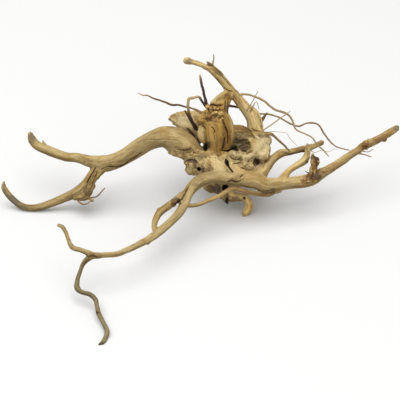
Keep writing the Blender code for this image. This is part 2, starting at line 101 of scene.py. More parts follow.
# Limbs of the wood: name, ridge height in mm, ochre share, lightness, stations.
LIMBS = (
    ("left_arm", 0.34, 0.12, 0.8, (
        (8, 35, 6, 12), (0, 40, 7, 11), (-7, 46, 8, 11), (-14, 53, 8, 13), (-25, 59.7, 8, 13.3),
        (-36, 63.2, 8, 10.8), (-49, 59.2, 6, 9), (-62, 51.8, 4, 8.8), (-74.5, 43.8, 2, 7.9),
        (-87.2, 38, 0, 8), (-98, 36.3, -2, 8.2), (-110, 38.6, -4, 6), (-122, 42, -8, 4.9),
        (-133, 43, -12, 4.6), (-144, 46.5, -16, 4.7), (-154, 50.6, -20, 4.7),
        (-162, 54, -24, 4.6), (-167.5, 59.6, -27, 4.3), (-169.7, 65.4, -29, 2.8))),
    ("left_hook", 0.22, 0.2, 0.72, (
        (-102, 31, -2, 6), (-107, 25.5, -3, 5.2), (-112.5, 18, -4, 4.8), (-118, 11.5, -5, 5.4),
        (-126, 6.4, -6, 5), (-136, 2, -8, 4.4), (-147, -2.6, -9, 3.9), (-158, -6.4, -10, 3.7),
        (-169, -7.9, -11, 3.4), (-178, -6.2, -11.5, 3.3), (-185.6, -0.8, -11.5, 3.2),
        (-192.5, 6.3, -11.5, 3.2), (-196.2, 12.7, -11.5, 2.7), (-196.2, 18.3, -11.5, 0.9))),
    ("hook_knuckle", 0.45, 0.35, 0.7, (
        (-107.5, 14, 0, 3.2), (-112, 9, 2, 4.4), (-116, 4, 2, 4.9), (-121.5, 2.6, 1, 3.6),
        (-126, 1.4, 0, 1.8))),
    ("hook_strand", 0.3, 0.4, 0.75, (
        (-90, 36, 2, 3.5), (-97, 30.5, 3, 3.6), (-102, 24.5, 3, 2.7), (-107.2, 18.5, 3, 2.3),
        (-109, 13, 3, 2.3), (-110.5, 6, 4, 2.4))),
    ("knuckle_stub", 0.2, 0.4, 0.7, (
        (-114, 4, 2, 2), (-110.5, 1.5, 4, 1.9), (-107.4, -0.6, 5, 1.7))),
    ("front_limb", 0.26, 0.03, 0.76, (
        (36, 21.2, 18, 7.2), (26, 22, 24, 6.4), (13, 22.8, 28, 6.3), (0, 18.9, 31, 6.5),
        (-8, 12.4, 35, 5.9), (-13.2, 4, 41, 5.3), (-16.4, -5.4, 48, 4.5),
        (-22.6, -15.2, 56, 4.2), (-31.8, -24.3, 66, 4.1), (-41.8, -32.5, 74, 4.1),
        (-51.2, -39.2, 81, 3.7), (-62, -44.9, 88, 3.3), (-72, -49.6, 94, 3),
        (-83, -54, 99, 2.8), (-95, -55, 102, 2.8), (-105, -55.6, 105, 3.3),
        (-112, -52.8, 106, 2.8), (-119.8, -50, 106, 2.5), (-126.3, -48.3, 105, 2.6),
        (-129.4, -45, 104, 2.4), (-132, -38.5, 102, 2.1), (-134.7, -31.2, 99, 2.1),
        (-138, -26.6, 97, 2.1), (-141.4, -25.3, 96, 1.8))),
    ("front_foot", 0.26, 0, 0.41, (
        (-105, -55.5, 105, 2.7), (-113, -59.3, 105, 2.9), (-117.6, -65, 106, 2.1),
        (-120.3, -72.5, 108, 2.1), (-122.6, -80.5, 111, 2.3), (-122.8, -88, 114, 2.9),
        (-117.8, -92.2, 117, 2.5), (-110, -94.4, 119, 2.5), (-104.8, -99.2, 123, 2.5),
        (-102.8, -107, 128, 2.4), (-101.3, -113.6, 133, 2.6), (-97.5, -121, 139, 2.3),
        (-93, -130.8, 148, 2.6), (-94.8, -138, 153, 2.5), (-97.4, -142.8, 157, 2.1),
        (-100.6, -144.4, 158, 1.5))),
    ("side_loop", 0.3, 0.25, 0.82, (
        (-8, 12, 33, 3.5), (-17.4, 4.5, 36, 3.8), (-24.6, -1, 41, 4), (-32.6, -6.8, 47, 3.7),
        (-40.2, -12.5, 54, 3.8), (-44.3, -19.5, 62, 3.2), (-45.6, -27.4, 70, 2.9),
        (-43, -34, 75, 2.7))),
    ("stretcher", 0.18, 0.4, 0.8, (
        (-15, -5.4, 46, 2.1), (-9.5, -5.7, 44, 2), (-2, -4.6, 40, 2.1), (6, -1.6, 37, 2.1),
        (14, 1.8, 34, 2.1), (21, 5, 32, 2.1), (27.5, 9.4, 30, 2.2), (33.5, 11.4, 28, 2.3),
        (41, 9.8, 26, 2.4), (49, 7.6, 23, 2.4), (59, 6, 20, 2.4), (69, 6.2, 17, 3),
        (77, 11, 14, 3.2))),
    ("right_limb", 0.5, 0.15, 0.9, (
        (30, 22, 18, 7), (46, 20.8, 18, 8), (56, 19.4, 18, 8.5), (66, 15.2, 17, 7.5),
        (80, 16, 15, 6.4), (94, 17.4, 12, 5.9), (105, 18.6, 10, 6.2), (113, 21.6, 8, 6.6),
        (121.5, 26.6, 4, 5.1), (131, 32, 0, 4.3), (142, 38.8, -4, 4), (151, 45.3, -8, 3.5),
        (161, 51.8, -12, 3.5), (167, 55.5, -15, 4.1), (177, 60.3, -18, 3.8),
        (188, 66.2, -22, 3.8), (196.3, 71.7, -25, 3.2))),
    ("upper_fork", 0.2, 0.1, 0.92, (
        (58, 22, 16, 6.5), (62.6, 26.8, 11, 5.4), (67.7, 33.4, 5, 4.3), (74, 41.6, -2, 4),
        (81.5, 46.7, -8, 4.2), (91, 48.2, -13, 3.2), (103, 51.1, -19, 3.2), (113, 53.5, -23, 2.7),
        (122.4, 57.5, -27, 2))),
    ("lower_fork", 0.2, 0.05, 1, (
        (81, 19, 14, 4.5), (85, 24.7, 12, 3.6), (90.5, 30.4, 9, 3.2), (97.5, 34.8, 5, 3.4),
        (104.2, 39.4, 1, 3.9), (107.3, 45.8, -5, 3.3), (107.8, 51.8, -10, 2.8),
        (106.9, 55.8, -13, 1.6))),
    ("dark_stub", 0.6, 0.5, 0.8, (
        (112, 22, 8, 4.4), (113.6, 29, 9, 4.3), (114.6, 34, 9, 3.8), (115.4, 38.4, 9, 4.1),
        (114.3, 42.6, 9, 2.6), (113, 45.6, 9, 1.6))),
    ("arch", 0.45, 0.02, 1.19, (
        (60, 54, -6, 10), (57, 64, -5, 8.2), (54.2, 73, -4, 6.8), (52, 81.3, -3, 6),
        (47.2, 89.3, -2, 5.7), (41.2, 97, -1, 5.4), (35.8, 103.6, 0, 4.7), (30.9, 108.6, 1, 4),
        (25.6, 114, 2, 3.3), (20.6, 120.2, 3, 3.1), (15.8, 125.6, 4, 3.4), (10.2, 130.4, 5, 2.9),
        (2.7, 134.6, 6, 2.6), (-4.8, 137.4, 7, 2.5), (-10, 138.6, 8, 3.1),
        (-13, 139.4, 8, 3.8))),
    ("arch_shoulder", 0.4, 0.05, 1.2, (
        (49.5, 92.5, 0, 2.6), (54.2, 87.6, -1, 3.9), (57.2, 81, -2, 4.4), (59.6, 73, -3, 4))),
    ("crown_strand", 0.3, 0.35, 1, (
        (38, 104, 3, 2.3), (33, 110.8, 4, 2), (26.8, 118.4, 5, 1.9), (20.7, 125.9, 6, 2.1),
        (14.2, 132.2, 7, 1.9), (10, 135.8, 7.5, 1.6), (7, 138.2, 8, 1.1))),
    ("spire", 0.5, 0.85, 0.78, (
        (24, 36, 2, 13), (21, 50, 5, 12.5), (18.5, 61, 7, 13.2), (17, 71, 7, 14.6),
        (17.5, 82, 6, 12.6), (19.8, 92, 5, 9.2), (24.4, 100.5, 3, 6.8), (29.6, 106.4, 1, 5.2),
        (35, 106.5, 0, 4))),
    ("spire_outer_fold", 0.3, 0.6, 0.85, (
        (22.6, 91, 9, 2.2), (26.2, 85.5, 11.5, 2.7), (29.5, 78, 12.5, 3.1), (31.4, 70, 12.5, 3.2),
        (31.4, 60, 11.5, 3.2), (30.3, 50, 10, 2.8))),
    ("spire_right_ridge", 0.25, 1, 0.72, (
        (23.5, 80, 17.5, 1.8), (26, 73, 18, 2.3), (27.5, 66, 17.5, 2.6), (28, 58, 16, 2.6),
        (27.5, 50.5, 14, 2.4))),
    ("spire_groove_ridge", 0.25, 1, 0.72, (
        (19, 68, 20.5, 2.4), (20.5, 60, 19.5, 2.6), (20, 51, 17, 2.4))),
    ("spire_brow", 0.35, 0.9, 0.8, (
        (19.5, 84, 15.5, 4.2), (19.5, 76, 18.5, 4.8), (20, 68, 18.5, 4.6))),
    ("spire_front", 0.3, 0.75, 0.85, (
        (10.5, 79, 14, 5), (11.5, 71, 16.5, 6.2), (13, 62, 16, 6.2), (14, 53, 13, 5.4),
        (13, 45, 11, 5))),
    ("ear_upper", 0.35, 0.9, 1, (
        (-0.8, 79.2, 9, 2.9), (2.2, 80.4, 13, 3.9), (5.5, 82, 14.5, 3.6), (8, 84.5, 13, 2.6))),
    ("ear_lower", 0.25, 0.3, 1, (
        (2, 73, 12, 2.4), (1.2, 68, 13.5, 3.7), (2, 62.5, 13.5, 3.7), (4, 57.5, 12, 2.8))),
    ("flake_low", 0.3, 0.55, 1.15, (
        (7, 75.5, 16, 1.5), (10, 77.4, 19.5, 1.4), (13.5, 76.6, 21.5, 0.8))),
    ("flake_left", 0.3, 0.7, 1.1, (
        (1.6, 83.6, 13, 1.7), (3.9, 87.2, 16.5, 1.4), (6.6, 88.4, 18.5, 0.8))),
    ("flake_middle", 0.3, 0.5, 1.2, (
        (9.5, 82.6, 17, 1.8), (13, 86.4, 21, 1.5), (16.6, 87.8, 22, 0.8))),
    ("flake_right", 0.3, 0.5, 1.2, (
        (17.5, 84.2, 18.5, 1.6), (20.6, 87.6, 20.5, 1.5), (24.2, 85.4, 20.5, 0.8))),
    ("flake_high", 0.3, 0.6, 1.1, (
        (10.5, 89.2, 14.5, 1.6), (14, 92.4, 18, 1.3), (18.4, 91.2, 18.5, 0.8))),
    ("flake_edge", 0.3, 0.5, 1.15, (
        (7.6, 89.6, 11.5, 1.4), (7.2, 93.2, 13.5, 1.1), (8.4, 96, 14, 0.7))),
    ("flake_small", 0.3, 0.7, 1.1, (
        (18.6, 79.6, 19.5, 1.4), (22, 81.8, 22, 1.1), (24.4, 80.6, 22, 0.7))),
    ("neck_left", 0.3, 0.3, 0.95, (
        (9.2, 92.8, 9, 2.5), (14.2, 97.8, 9.5, 3.1), (20.2, 102.8, 8.5, 3.5),
        (26, 106.8, 5.5, 3.3))),
    ("neck_right", 0.25, 0.7, 0.8, (
        (26.3, 90, 6, 2), (27.3, 96, 6, 2.5), (29.5, 102, 4.5, 2.7), (31.5, 107, 3, 2.8))),
    ("burl_brow", 0.4, 0.08, 0.93, (
        (9, 45, 13, 5), (12.5, 40, 16, 6.5), (16, 34, 19, 8), (20, 28, 22, 8))),
    ("burl_brow_right", 0.3, 0.05, 1.05, (
        (34, 33, 20, 4.5), (38, 28, 21, 6), (43, 24, 20, 6))),
    ("hollow_strand", 0.3, 0.1, 0.6, (
        (34, 63, 3, 1.6), (41, 59, 5, 1.7), (48, 54, 8, 1.8), (53, 51, 10, 1.6))),
    ("hollow_strand_low", 0.3, 0.1, 0.55, (
        (34, 56, 2, 1.5), (41, 53, 4, 1.6), (48, 50, 8, 1.5))),
    ("back_wedge", 0.7, 0, 1.08, (
        (14, 68, -14, 15), (3, 74, -18, 15), (-8, 78.5, -21, 11), (-19, 81.2, -23, 7.5),
        (-25.5, 82, -24, 4.8), (-28, 81.6, -24.5, 3.2))),
    ("wedge_edge", 0.5, 0, 1.08, (
        (-4, 71, -17, 9), (-14, 75.5, -20, 7.5), (-21, 77.6, -22, 5), (-25, 79, -23, 3.4))),
    ("wedge_fold_high", 0.9, 0, 1, (
        (16, 77, -22, 3.8), (3, 82.9, -26, 3.9), (-8, 83.6, -26.5, 3.4), (-19, 83.4, -26, 2.6))),
    ("wedge_fold_middle", 0.9, 0.1, 0.95, (
        (16, 67, -27, 4.4), (3, 73, -31.5, 4.6), (-8, 78, -30, 3.8), (-19, 80.6, -28.5, 3))),
    ("wedge_fold_low", 0.9, 0, 1, (
        (14, 57, -24, 4.4), (3, 63.5, -28, 4.4), (-8, 71, -28, 3.8), (-19, 76, -27, 2.8))),
    ("under_hook", 0.3, 0.25, 1.3, (
        (18, 22, 0, 13), (23, 12, 0, 8.5), (30, 4.5, -1, 6.2), (38, 2.8, -2, 4.3),
        (45, 1.8, -3, 3.8), (49.5, -3.4, -4, 3.8), (48.5, -8.5, -4.5, 4.2), (45.4, -12.8, -5, 3.6),
        (43.6, -15.9, -5.3, 1.7))),
    ("under_spike", 0.3, 0.2, 0.5, (
        (18, 12, 6, 5), (22, 7, 7, 3.8), (25.4, 1.5, 8, 3.2), (28, -4, 8, 1))),
    ("rear_foot", 0.4, 0.1, 0.95, (
        (38, 42, -14, 14), (44, 39, -30, 9.5), (51, 33, -46, 7.4), (53, 28.6, -60, 5.6),
        (51, 26.6, -67.5, 4), (48.5, 26.5, -71, 2.4))),
    ("under_cone", 0.6, 0.0, 0.7, (
        (15, 18, 6, 5), (17, 12, 7, 4.2), (19.5, 6.5, 7, 2.6), (21, 2, 7, 1.2))),
    ("cross_strand_upper", 0.2, 0.7, 0.75, (
        (33, 72, 9, 1.8), (41, 73, 10, 1.7), (48, 70, 10.5, 1.6), (54, 67, 10.5, 1.4),
        (61, 66.5, 9, 1.2))),
    ("cross_strand_lower", 0.2, 0.6, 0.75, (
        (30, 68, 9, 1.8), (38, 69, 11, 1.7), (46, 68.5, 10.5, 1.5), (52, 67.5, 10, 1.4))),
    ("arm_flap", 0.3, 0.1, 1, (
        (-30, 47.5, 12, 2.2), (-21, 45.5, 15, 2.6), (-13, 45, 16, 2.2))),
    ("cross_root", 0.3, 0.6, 0.8, (
        (26, 69.5, 6, 3.2), (36, 72.4, 8, 3), (43, 71.6, 8, 2.8), (50, 68.4, 8, 2.3),
        (57, 66.2, 8, 2), (64, 65.8, 7, 1.7), (70.8, 66.1, 6, 1.7))),
    ("draped_root", 0.25, 0.1, 1, (
        (47, 71, 8, 1.6), (54, 66, 11, 1.9), (59, 60.5, 11, 1.7), (63, 56, 7, 1.4))),
)

# Rootlets: name, and stations of (across, up, out, radius, darkness).
ROOTLETS = (
    ("spike", (
        (7.4, 92, 6, 1.9, 0.9), (4.8, 102, 6, 1.5, 1), (2.6, 112, 6.5, 1.4, 1),
        (1, 119, 7, 1.4, 0.7), (-0.2, 124.5, 7, 1.6, 0))),
    ("bent_rootlet", (
        (8, 91, 7, 1.6, 1), (1.6, 99, 10, 1.4, 0.95), (-1.4, 103.3, 12, 1.4, 0.2),
        (-6, 102.2, 13, 1.5, 0.05), (-10.9, 101.3, 13, 1.9, 0), (-11.9, 96.6, 12, 1.7, 0.05),
        (-11.7, 90, 10, 1.5, 0.35), (-9.8, 83, 7, 1.5, 0.8), (-6, 75, 1, 1.6, 1),
        (-2, 70, -4, 1.6, 1))),
    ("cross_rootlet", (
        (-15, 89, 14, 0.9, 0.9), (-11.5, 83.5, 12, 1.3, 1), (-7.5, 77, 7, 1.7, 1),
        (-3, 70, 0, 1.8, 1))),
    ("left_rootlet", (
        (6, 84, 6, 2, 0.3), (-2, 89.4, 2, 1.3, 0.3), (-9, 92, 0, 1.1, 0.4),
        (-15, 93.2, -1, 1, 0.7), (-21.5, 95.2, -2, 1.2, 0.75), (-28, 95, -3, 1.2, 0.75),
        (-34.5, 97.6, -4, 1.2, 0.7), (-41.4, 100.1, -5, 1.1, 0.7), (-47, 101.6, -6, 0.9, 0.7),
        (-52.2, 104.6, -7, 0.8, 0.4), (-57, 104.7, -8, 0.7, 0.2), (-61.5, 107, -9, 0.7, 0.2))),
    ("top_rootlet", (
        (36, 103, 0, 2, 0.12), (43.5, 105.9, -1, 1.3, 0.18), (53.6, 103.8, -3, 1.3, 0.18),
        (63.8, 99.2, -5, 1.3, 0.18), (74, 91, -7, 1.3, 0.24), (86.5, 86.4, -8, 1.2, 0.3),
        (92, 80, -8, 1.1, 0.24), (95.7, 70.7, -7, 1, 0.18), (105.7, 66, -6, 0.9, 0.18),
        (112.3, 62.2, -5, 0.9, 0.18), (117.3, 55.4, -4, 0.9, 0.24), (122.4, 50.6, -3, 0.8, 0.24),
        (128.8, 43.7, -2, 0.7, 0.18))),
    ("middle_rootlet", (
        (26, 95, 0, 1.8, 0.7), (37, 92.8, -8, 1.2, 0.65), (47, 90, -12, 1.1, 0.3),
        (59.9, 86.4, -14, 1, 0.25), (68.9, 85.7, -15, 1, 0.25), (79, 82.6, -16, 1, 0.25),
        (88, 77.6, -16, 1, 0.38), (98.2, 73.7, -15, 1.1, 0.38), (107, 76.9, -14, 1, 0.38),
        (114.8, 76.8, -13, 1, 0.38), (120, 73.5, -13, 1, 0.38), (125, 64.8, -14, 1, 0.38),
        (131.4, 57.2, -15, 0.9, 0.3), (138, 52.6, -17, 0.8, 0.3), (149.5, 49.8, -19, 0.8, 0.3))),
    ("arch_stub", (
        (57, 72, -3, 2.4, 0.4), (62.5, 80.5, -5, 1.8, 0.55), (67, 86.8, -6, 1.3, 0.65))),
    ("cross_root_end", (
        (64, 65.8, 7, 1.7, 0.32), (70.8, 66.1, 6, 1.7, 0.4), (75, 63, 5, 1.3, 0.4),
        (81, 57.6, 2, 1.2, 0.4), (85.5, 53, -1, 1.1, 0.4), (90, 48.6, -4, 1, 0.32))),
    ("rising_rootlet", (
        (58, 66.4, 8, 1.1, 0.2), (66, 71.6, 7, 0.75, 0.15), (75, 77.8, 7, 0.65, 0.15),
        (83, 83.8, 7, 0.65, 0.15), (90.2, 89, 7, 0.6, 0.2))),
    ("arch_twig", (
        (47, 90, 4, 1, 0.2), (51.7, 97.3, 5, 0.6, 0.2), (55.6, 104.3, 5, 0.6, 0.2),
        (57.8, 108.4, 5, 0.7, 0.42))),
    ("knuckle_arc", (
        (-124, 3.4, 2, 1.2, 0.5), (-121.5, -1.4, 3, 0.9, 0.4), (-117, -4.2, 4, 0.9, 0.4),
        (-112.5, -3.4, 5, 0.9, 0.4), (-109.5, -1, 5, 1, 0.4))),
    ("fork_hair", (
        (112, 26, 10, 1.2, 0.9), (107.4, 27.5, 12, 0.7, 0.9), (105, 29, 13, 0.6, 0.9))),
    ("limb_nub", (
        (-154, 53, -19, 2.4, 0.1), (-157.2, 59, -20, 1.5, 0.15))),
    ("grey_hair", (
        (60, 66.5, 6, 0.9, 0.2), (66.3, 67.9, 5, 0.38, 0.1), (76.5, 68.3, 4, 0.32, 0),
        (86.7, 66.7, 3, 0.3, 0), (89.3, 62.2, 2, 0.3, 0), (98.2, 53.3, 0, 0.3, 0))),
    ("arch_hair", (
        (50, 88, 3, 0.8, 0.3), (54, 95.5, 6, 0.5, 0.4), (56.8, 98, 6, 0.45, 0.4),
        (59.3, 90.3, 6, 0.4, 0.4))),
    ("fork_thread", (
        (108, 52, -20, 0.9, 0.3), (114.7, 47.6, -18, 0.4, 0.2), (120.4, 49.8, -18, 0.32, 0.1),
        (128, 48.2, -18, 0.32, 0.1), (134.4, 50.8, -18, 0.3, 0.1), (137.6, 50.5, -18, 0.3, 0.1))),
    ("limb_hair", (
        (159, 51, -9, 1.2, 0.3), (167, 48, -9, 0.55, 0.4), (173, 50.5, -9, 0.5, 0.4))),
    ("crown_twig", (
        (12.5, 131, 5, 1, 0.2), (12.9, 138, 6, 0.9, 0.25), (13.8, 142.4, 6, 0.95, 0.3),
        (13.6, 145.4, 6, 0.9, 0.4))),
    ("limb_twig", (
        (152, 47, -8, 1.6, 0.27), (163, 45.7, -9, 0.8, 0.36), (171.6, 43, -8, 0.7, 0.45))),
    ("knuckle_twig", (
        (-110, 2, 3, 1, 0.5), (-105, 3, 4, 0.7, 0.7), (-102, 4.5, 5, 0.7, 0.7),
        (-95, 12, 8, 0.7, 0.6))),
)
ROOTLET_SIDES = 10
ROOTLET_SPACING = 1.2
TAPER_LENGTH = 7.0
TIP_SHARE = 0.62
TAPER_SHARE = 0.38
BEND_EASE = 6.0
BEND_HEIGHT = 0.2

# Swellings: across, up, out, half sizes across, up and out, cork share, ochre share.
LUMPS = (
    (30, 32, 0, 26, 20, 24, 0.8, 0.1),
    (53.5, 51.5, -6, 18, 18, 18, 0.15, 0),
    (62, 59.5, -3, 10, 9.5, 11, 0.12, 0),
    (50, 34, 2, 15, 13, 17, 0.9, 0.1),
    (6, 34, 6, 14, 13, 15, 0.9, 0.15),
    (-5, 33.2, 8, 9.8, 9.2, 9, 0.7, 0.1),
    (14, 16, 0, 11, 9.5, 13, 0.4, 0.2),
    (34, 50, -18, 22, 20, 16, 0.9, 0.1),
    (6, 52, -16, 13, 15, 9, 0.6, 0.1),
    (64, 45.5, 7, 6.2, 5.6, 6.5, 0.2, 0),
    (58, 55, 5, 9, 9, 8, 0.12, 0),
    (33, 45.5, 19, 4.4, 3, 4, 1, 0.1),
    (39.5, 44, 18.5, 4, 3.2, 4, 1, 0.1),
    (46, 42, 17.5, 4, 3, 4, 1, 0.1),
    (52, 44.5, 14.5, 4, 3.4, 4, 1, 0.1),
    (36, 37.5, 21.5, 4.4, 3, 3.6, 1, 0.1),
    (43.5, 36.5, 19.5, 4.4, 2.8, 3.6, 1, 0.1),
    (50, 34.5, 17, 4, 2.8, 4, 1, 0.1),
    (-13, 43.5, 13, 4.5, 3, 4, 1, 0.15),
    (-5, 45, 16, 5, 3, 4, 1, 0.15),
    (3, 45.5, 17.5, 5, 3.2, 4, 1, 0.15),
    (-13, 37, 12, 3.6, 3, 4, 0.8, 0.15),
    (13.5, 86.8, 15, 3.6, 2.2, 3, 1, 0.8),
    (20.5, 86.5, 14.5, 3, 2.3, 3, 1, 0.75),
    (16.8, 91.8, 13.5, 4, 2.6, 3, 1, 1),
    (11, 90.8, 12.5, 2.4, 2.6, 2.6, 1, 0.85),
    (22.6, 92, 11, 2.8, 3, 3, 1, 0.9),
    (21.3, 96.7, 9.5, 2.4, 1.6, 2.4, 1, 0.5),
    (16.8, 96.9, 10.5, 2.6, 1.5, 2.4, 1, 0.5),
    (7.5, 93.2, 10, 2.4, 2.6, 2.6, 1, 0.9),
    (5, 87.5, 11.5, 2.6, 2.2, 2.6, 1, 0.7),
    (15.5, 82, 18, 4.5, 2, 2.6, 0.8, 0.6),
    (-26, 47, 12, 3, 1.8, 3, 1, 0.2),
    (-19, 44.8, 14, 3, 1.8, 3, 1, 0.2),
    (-10, 46.8, 17, 4, 1.8, 3, 1, 0.3),
    (81, 47.8, -7, 3, 3.4, 3.6, 0.3, 0.3),
    (103.5, 50.8, -18, 2.4, 3.4, 3.2, 0.3, 0.4),
    (121.5, 57.5, -26, 2.6, 2.6, 2.4, 0.2, 0.2),
    (112.8, 44.6, 9, 2.2, 2.4, 2.4, 1, 0.3),
    (117, 41, 9, 2.9, 2.8, 3, 1, 0.3),
    (114.2, 37.2, 9, 4.2, 2.6, 4.4, 1, 0.3),
    (112.6, 40.6, 10, 2, 2, 2.4, 1, 0.3),
    (165.5, 56.2, -12, 3.6, 2.6, 3, 0.8, 0.5),
    (184.6, 59.8, -20, 2.6, 2, 2.6, 0.4, 0.3),
    (77, 8.6, 13, 5, 2.4, 3, 0.6, 0.3),
    (42, 22, 26, 2, 1.8, 2, 0.2, 0.3),
    (31.5, 21.5, 27, 2.2, 1.6, 2, 0.2, 0.4),
    (-52.6, -43, 82, 2.6, 1.8, 2.6, 0.3, 0.4),
    (-41.4, -9.8, 51.5, 2.2, 2, 2.2, 0.3, 0.3),
)

# Hollows rotted into the burl: across, up, out, and the half sizes across, up and out.
HOLLOWS = (
    (57, 38, 20, 4, 4.6, 12),
    (42, 57, 15, 10, 8.5, 12),
    (35, 51.5, 14, 5, 3.5, 10),
    (-0.8, 30.6, 17, 1.9, 2.3, 6),
    (2, 55.8, -16, 1.8, 2.3, 40),
    (5.5, 53, 10, 2.6, 4.5, 9),
    (-5, 72, 4, 2.6, 3.6, 10),
    (25, 12.2, 15, 3.6, 4.6, 10),
    (44, 2, 2, 1.3, 1.5, 4),
)

# Torn, splintered places: strength, across, up, and the half sizes across and up.
TORN = (
    (1, 15, 91, 10, 7),
    (0.9, 14, 84, 10, 5),
    (0.5, 6, 79, 7, 6),
    (0.4, 12, 40, 14, 9),
    (0.5, 0, 80, 5, 5),
    (0.8, -14, 47.5, 15, 5),
    (0.6, -112, 5, 9, 8),
    (0.5, -105, 22, 5, 10),
    (1, 114.5, 33, 7, 14),
    (0.9, 110, 22.5, 10, 6),
    (0.9, 165, 55, 6, 6),
    (0.6, -6, 34, 10, 10),
    (0.9, -24, -2, 7, 5),
    (0.6, 113, 55, 10, 5),
    (0.6, 77, 8, 8, 4),
    (0.5, 42, 41, 14, 8),
    (0.5, 28, 104, 5, 5),
    (0.8, -26, 81, 6, 7),
    (0.5, -8, 84, 12, 5),
)


class Noise:
    """Smooth value noise, from -1 to 1, on points given in units of one lattice step."""

    def __init__(self, seed):
        self.seed = np.uint32(seed * 2654435761 % 4294967296)

    def corner(self, x, y, z):
        """A hashed number from -1 to 1 for each whole-numbered lattice point."""
        mixed = x.astype(np.uint32) * np.uint32(374761393)
        mixed += y.astype(np.uint32) * np.uint32(668265263)
        mixed += z.astype(np.uint32) * np.uint32(2246822519) + self.seed
        mixed = (mixed ^ (mixed >> np.uint32(13))) * np.uint32(1274126177)
        mixed ^= mixed >> np.uint32(16)
        return mixed.astype(np.float32) / np.float32(2147483648.0) - np.float32(1.0)

    def __call__(self, points):
        """Blends the eight lattice corners round each point with a quintic fade."""
        whole = np.floor(points)
        part = (points - whole).astype(np.float32)
        fade = part ** 3 * (part * (part * 6 - 15) + 10)
        x, y, z = (whole[:, i].astype(np.int64) for i in range(3))
        total = np.zeros(len(points), np.float32)
        for dx in (0, 1):
            for dy in (0, 1):
                for dz in (0, 1):
                    share = (fade[:, 0] if dx else 1 - fade[:, 0])
                    share = share * (fade[:, 1] if dy else 1 - fade[:, 1])
                    share = share * (fade[:, 2] if dz else 1 - fade[:, 2])
                    total += share * self.corner(x + dx, y + dy, z + dz)
        return total

    def layered(self, points, layers):
        """A sum of noises, each at twice the pitch and half the height of the one before."""
        total = 0
        height = 1.0
        for _ in range(layers):
            total = total + self(points) * height
            points = points * 2.03 + 11.7
            height *= 0.5
        return total


def placed(stations):
    """Row-frame points and radii, in mm, of sighted rows (across, up, out, radius).

    Across, up and radius shrink towards the eye by (SIGHT - out) / SIGHT, and the sighted plane is
    then turned back by TILT about the across axis.
    """
    stations = np.asarray(stations, float)
    out = stations[:, 2]
    shrink = (SIGHT - out) / SIGHT
    rise = stations[:, 1] * shrink
    points = np.column_stack((
        stations[:, 0] * shrink - ORIGIN_ACROSS,
        rise * math.sin(TILT) - out * math.cos(TILT) - ORIGIN_BACK,
        rise * math.cos(TILT) + out * math.sin(TILT) + EYE_LINE_HEIGHT))
    return points, stations[:, 3] * shrink


def sighted(points):
    """Across, up and out of row-frame points: the opposite of placed."""
    back = points[:, 1] + ORIGIN_BACK
    height = points[:, 2] - EYE_LINE_HEIGHT
    out = height * math.sin(TILT) - back * math.cos(TILT)
    rise = height * math.cos(TILT) + back * math.sin(TILT)
    shrink = (SIGHT - out) / SIGHT
    return np.column_stack(((points[:, 0] + ORIGIN_ACROSS) / shrink, rise / shrink, out))


def smooth_rows(knots, spacing):
    """Rows on a Catmull-Rom curve through the knots, about spacing mm apart."""
    ends = np.vstack((2 * knots[0] - knots[1], knots, 2 * knots[-1] - knots[-2]))
    gaps = np.linalg.norm(np.diff(knots[:, :3], axis=0), axis=1)
    steps = np.maximum(1, np.round(gaps / spacing)).astype(int)
    span = np.repeat(np.arange(len(gaps)), steps)
    t = np.concatenate([np.arange(count) / count for count in steps])[:, None]
    before, start, end, after = (ends[span + shift] for shift in range(4))
    rows = 0.5 * (2 * start + (end - before) * t
                  + (2 * before - 5 * start + 4 * end - after) * t ** 2
                  + (3 * start - before - 3 * end + after) * t ** 3)
    return np.vstack((rows, knots[-1:]))


def dots(first, second):
    """The dot product of each row of one array with the same row of the other."""
    return np.einsum("ij,ij->i", first, second)


def squared_gaps(points, path):
    """Squared distances from each point p to each path point q: p.p - 2 p.q + q.q."""
    return (points ** 2).sum(1)[:, None] - 2 * points @ path.T + (path ** 2).sum(1)


class Line:
    """A limb's centre line: points, radii, distance along, and a frame carried without twist."""

    def __init__(self, stations, spacing):
        points, radii = placed(np.asarray(stations)[:, :4])
        extra = np.asarray(stations)[:, 4:]
        rows = smooth_rows(np.column_stack((points, radii, extra)), spacing)
        self.points = rows[:, :3]
        self.radii = rows[:, 3]
        self.extra = rows[:, 4:]
        steps = np.diff(self.points, axis=0)
        self.along = np.concatenate(([0], np.cumsum(np.linalg.norm(steps, axis=1))))
        heading = np.gradient(self.points, axis=0)
        self.heading = heading / np.linalg.norm(heading, axis=1)[:, None]
        side = Vector(self.heading[0]).orthogonal()
        sides = []
        for tangent in self.heading:
            side = side - Vector(tangent) * side.dot(Vector(tangent))
            side.normalize()
            sides.append(side.copy())
        self.side = np.array(sides)
        self.over = np.cross(self.heading, self.side)


def closed_faces(rings, sides):
    """Quads between neighbouring rings, and fans to the two end points numbered after them."""
    ring, spoke = np.meshgrid(np.arange(rings - 1), np.arange(sides), indexing="ij")
    here = ring * sides + spoke
    beside = ring * sides + (spoke + 1) % sides
    quads = np.stack((here, beside, beside + sides, here + sides), axis=-1).reshape(-1, 4)
    turn = np.arange(sides)
    after = (turn + 1) % sides
    top = (rings - 1) * sides
    first_fan = np.column_stack((after, turn, np.full(sides, rings * sides)))
    last_fan = np.column_stack((turn + top, after + top, np.full(sides, rings * sides + 1)))
    return quads, np.vstack((first_fan, last_fan))


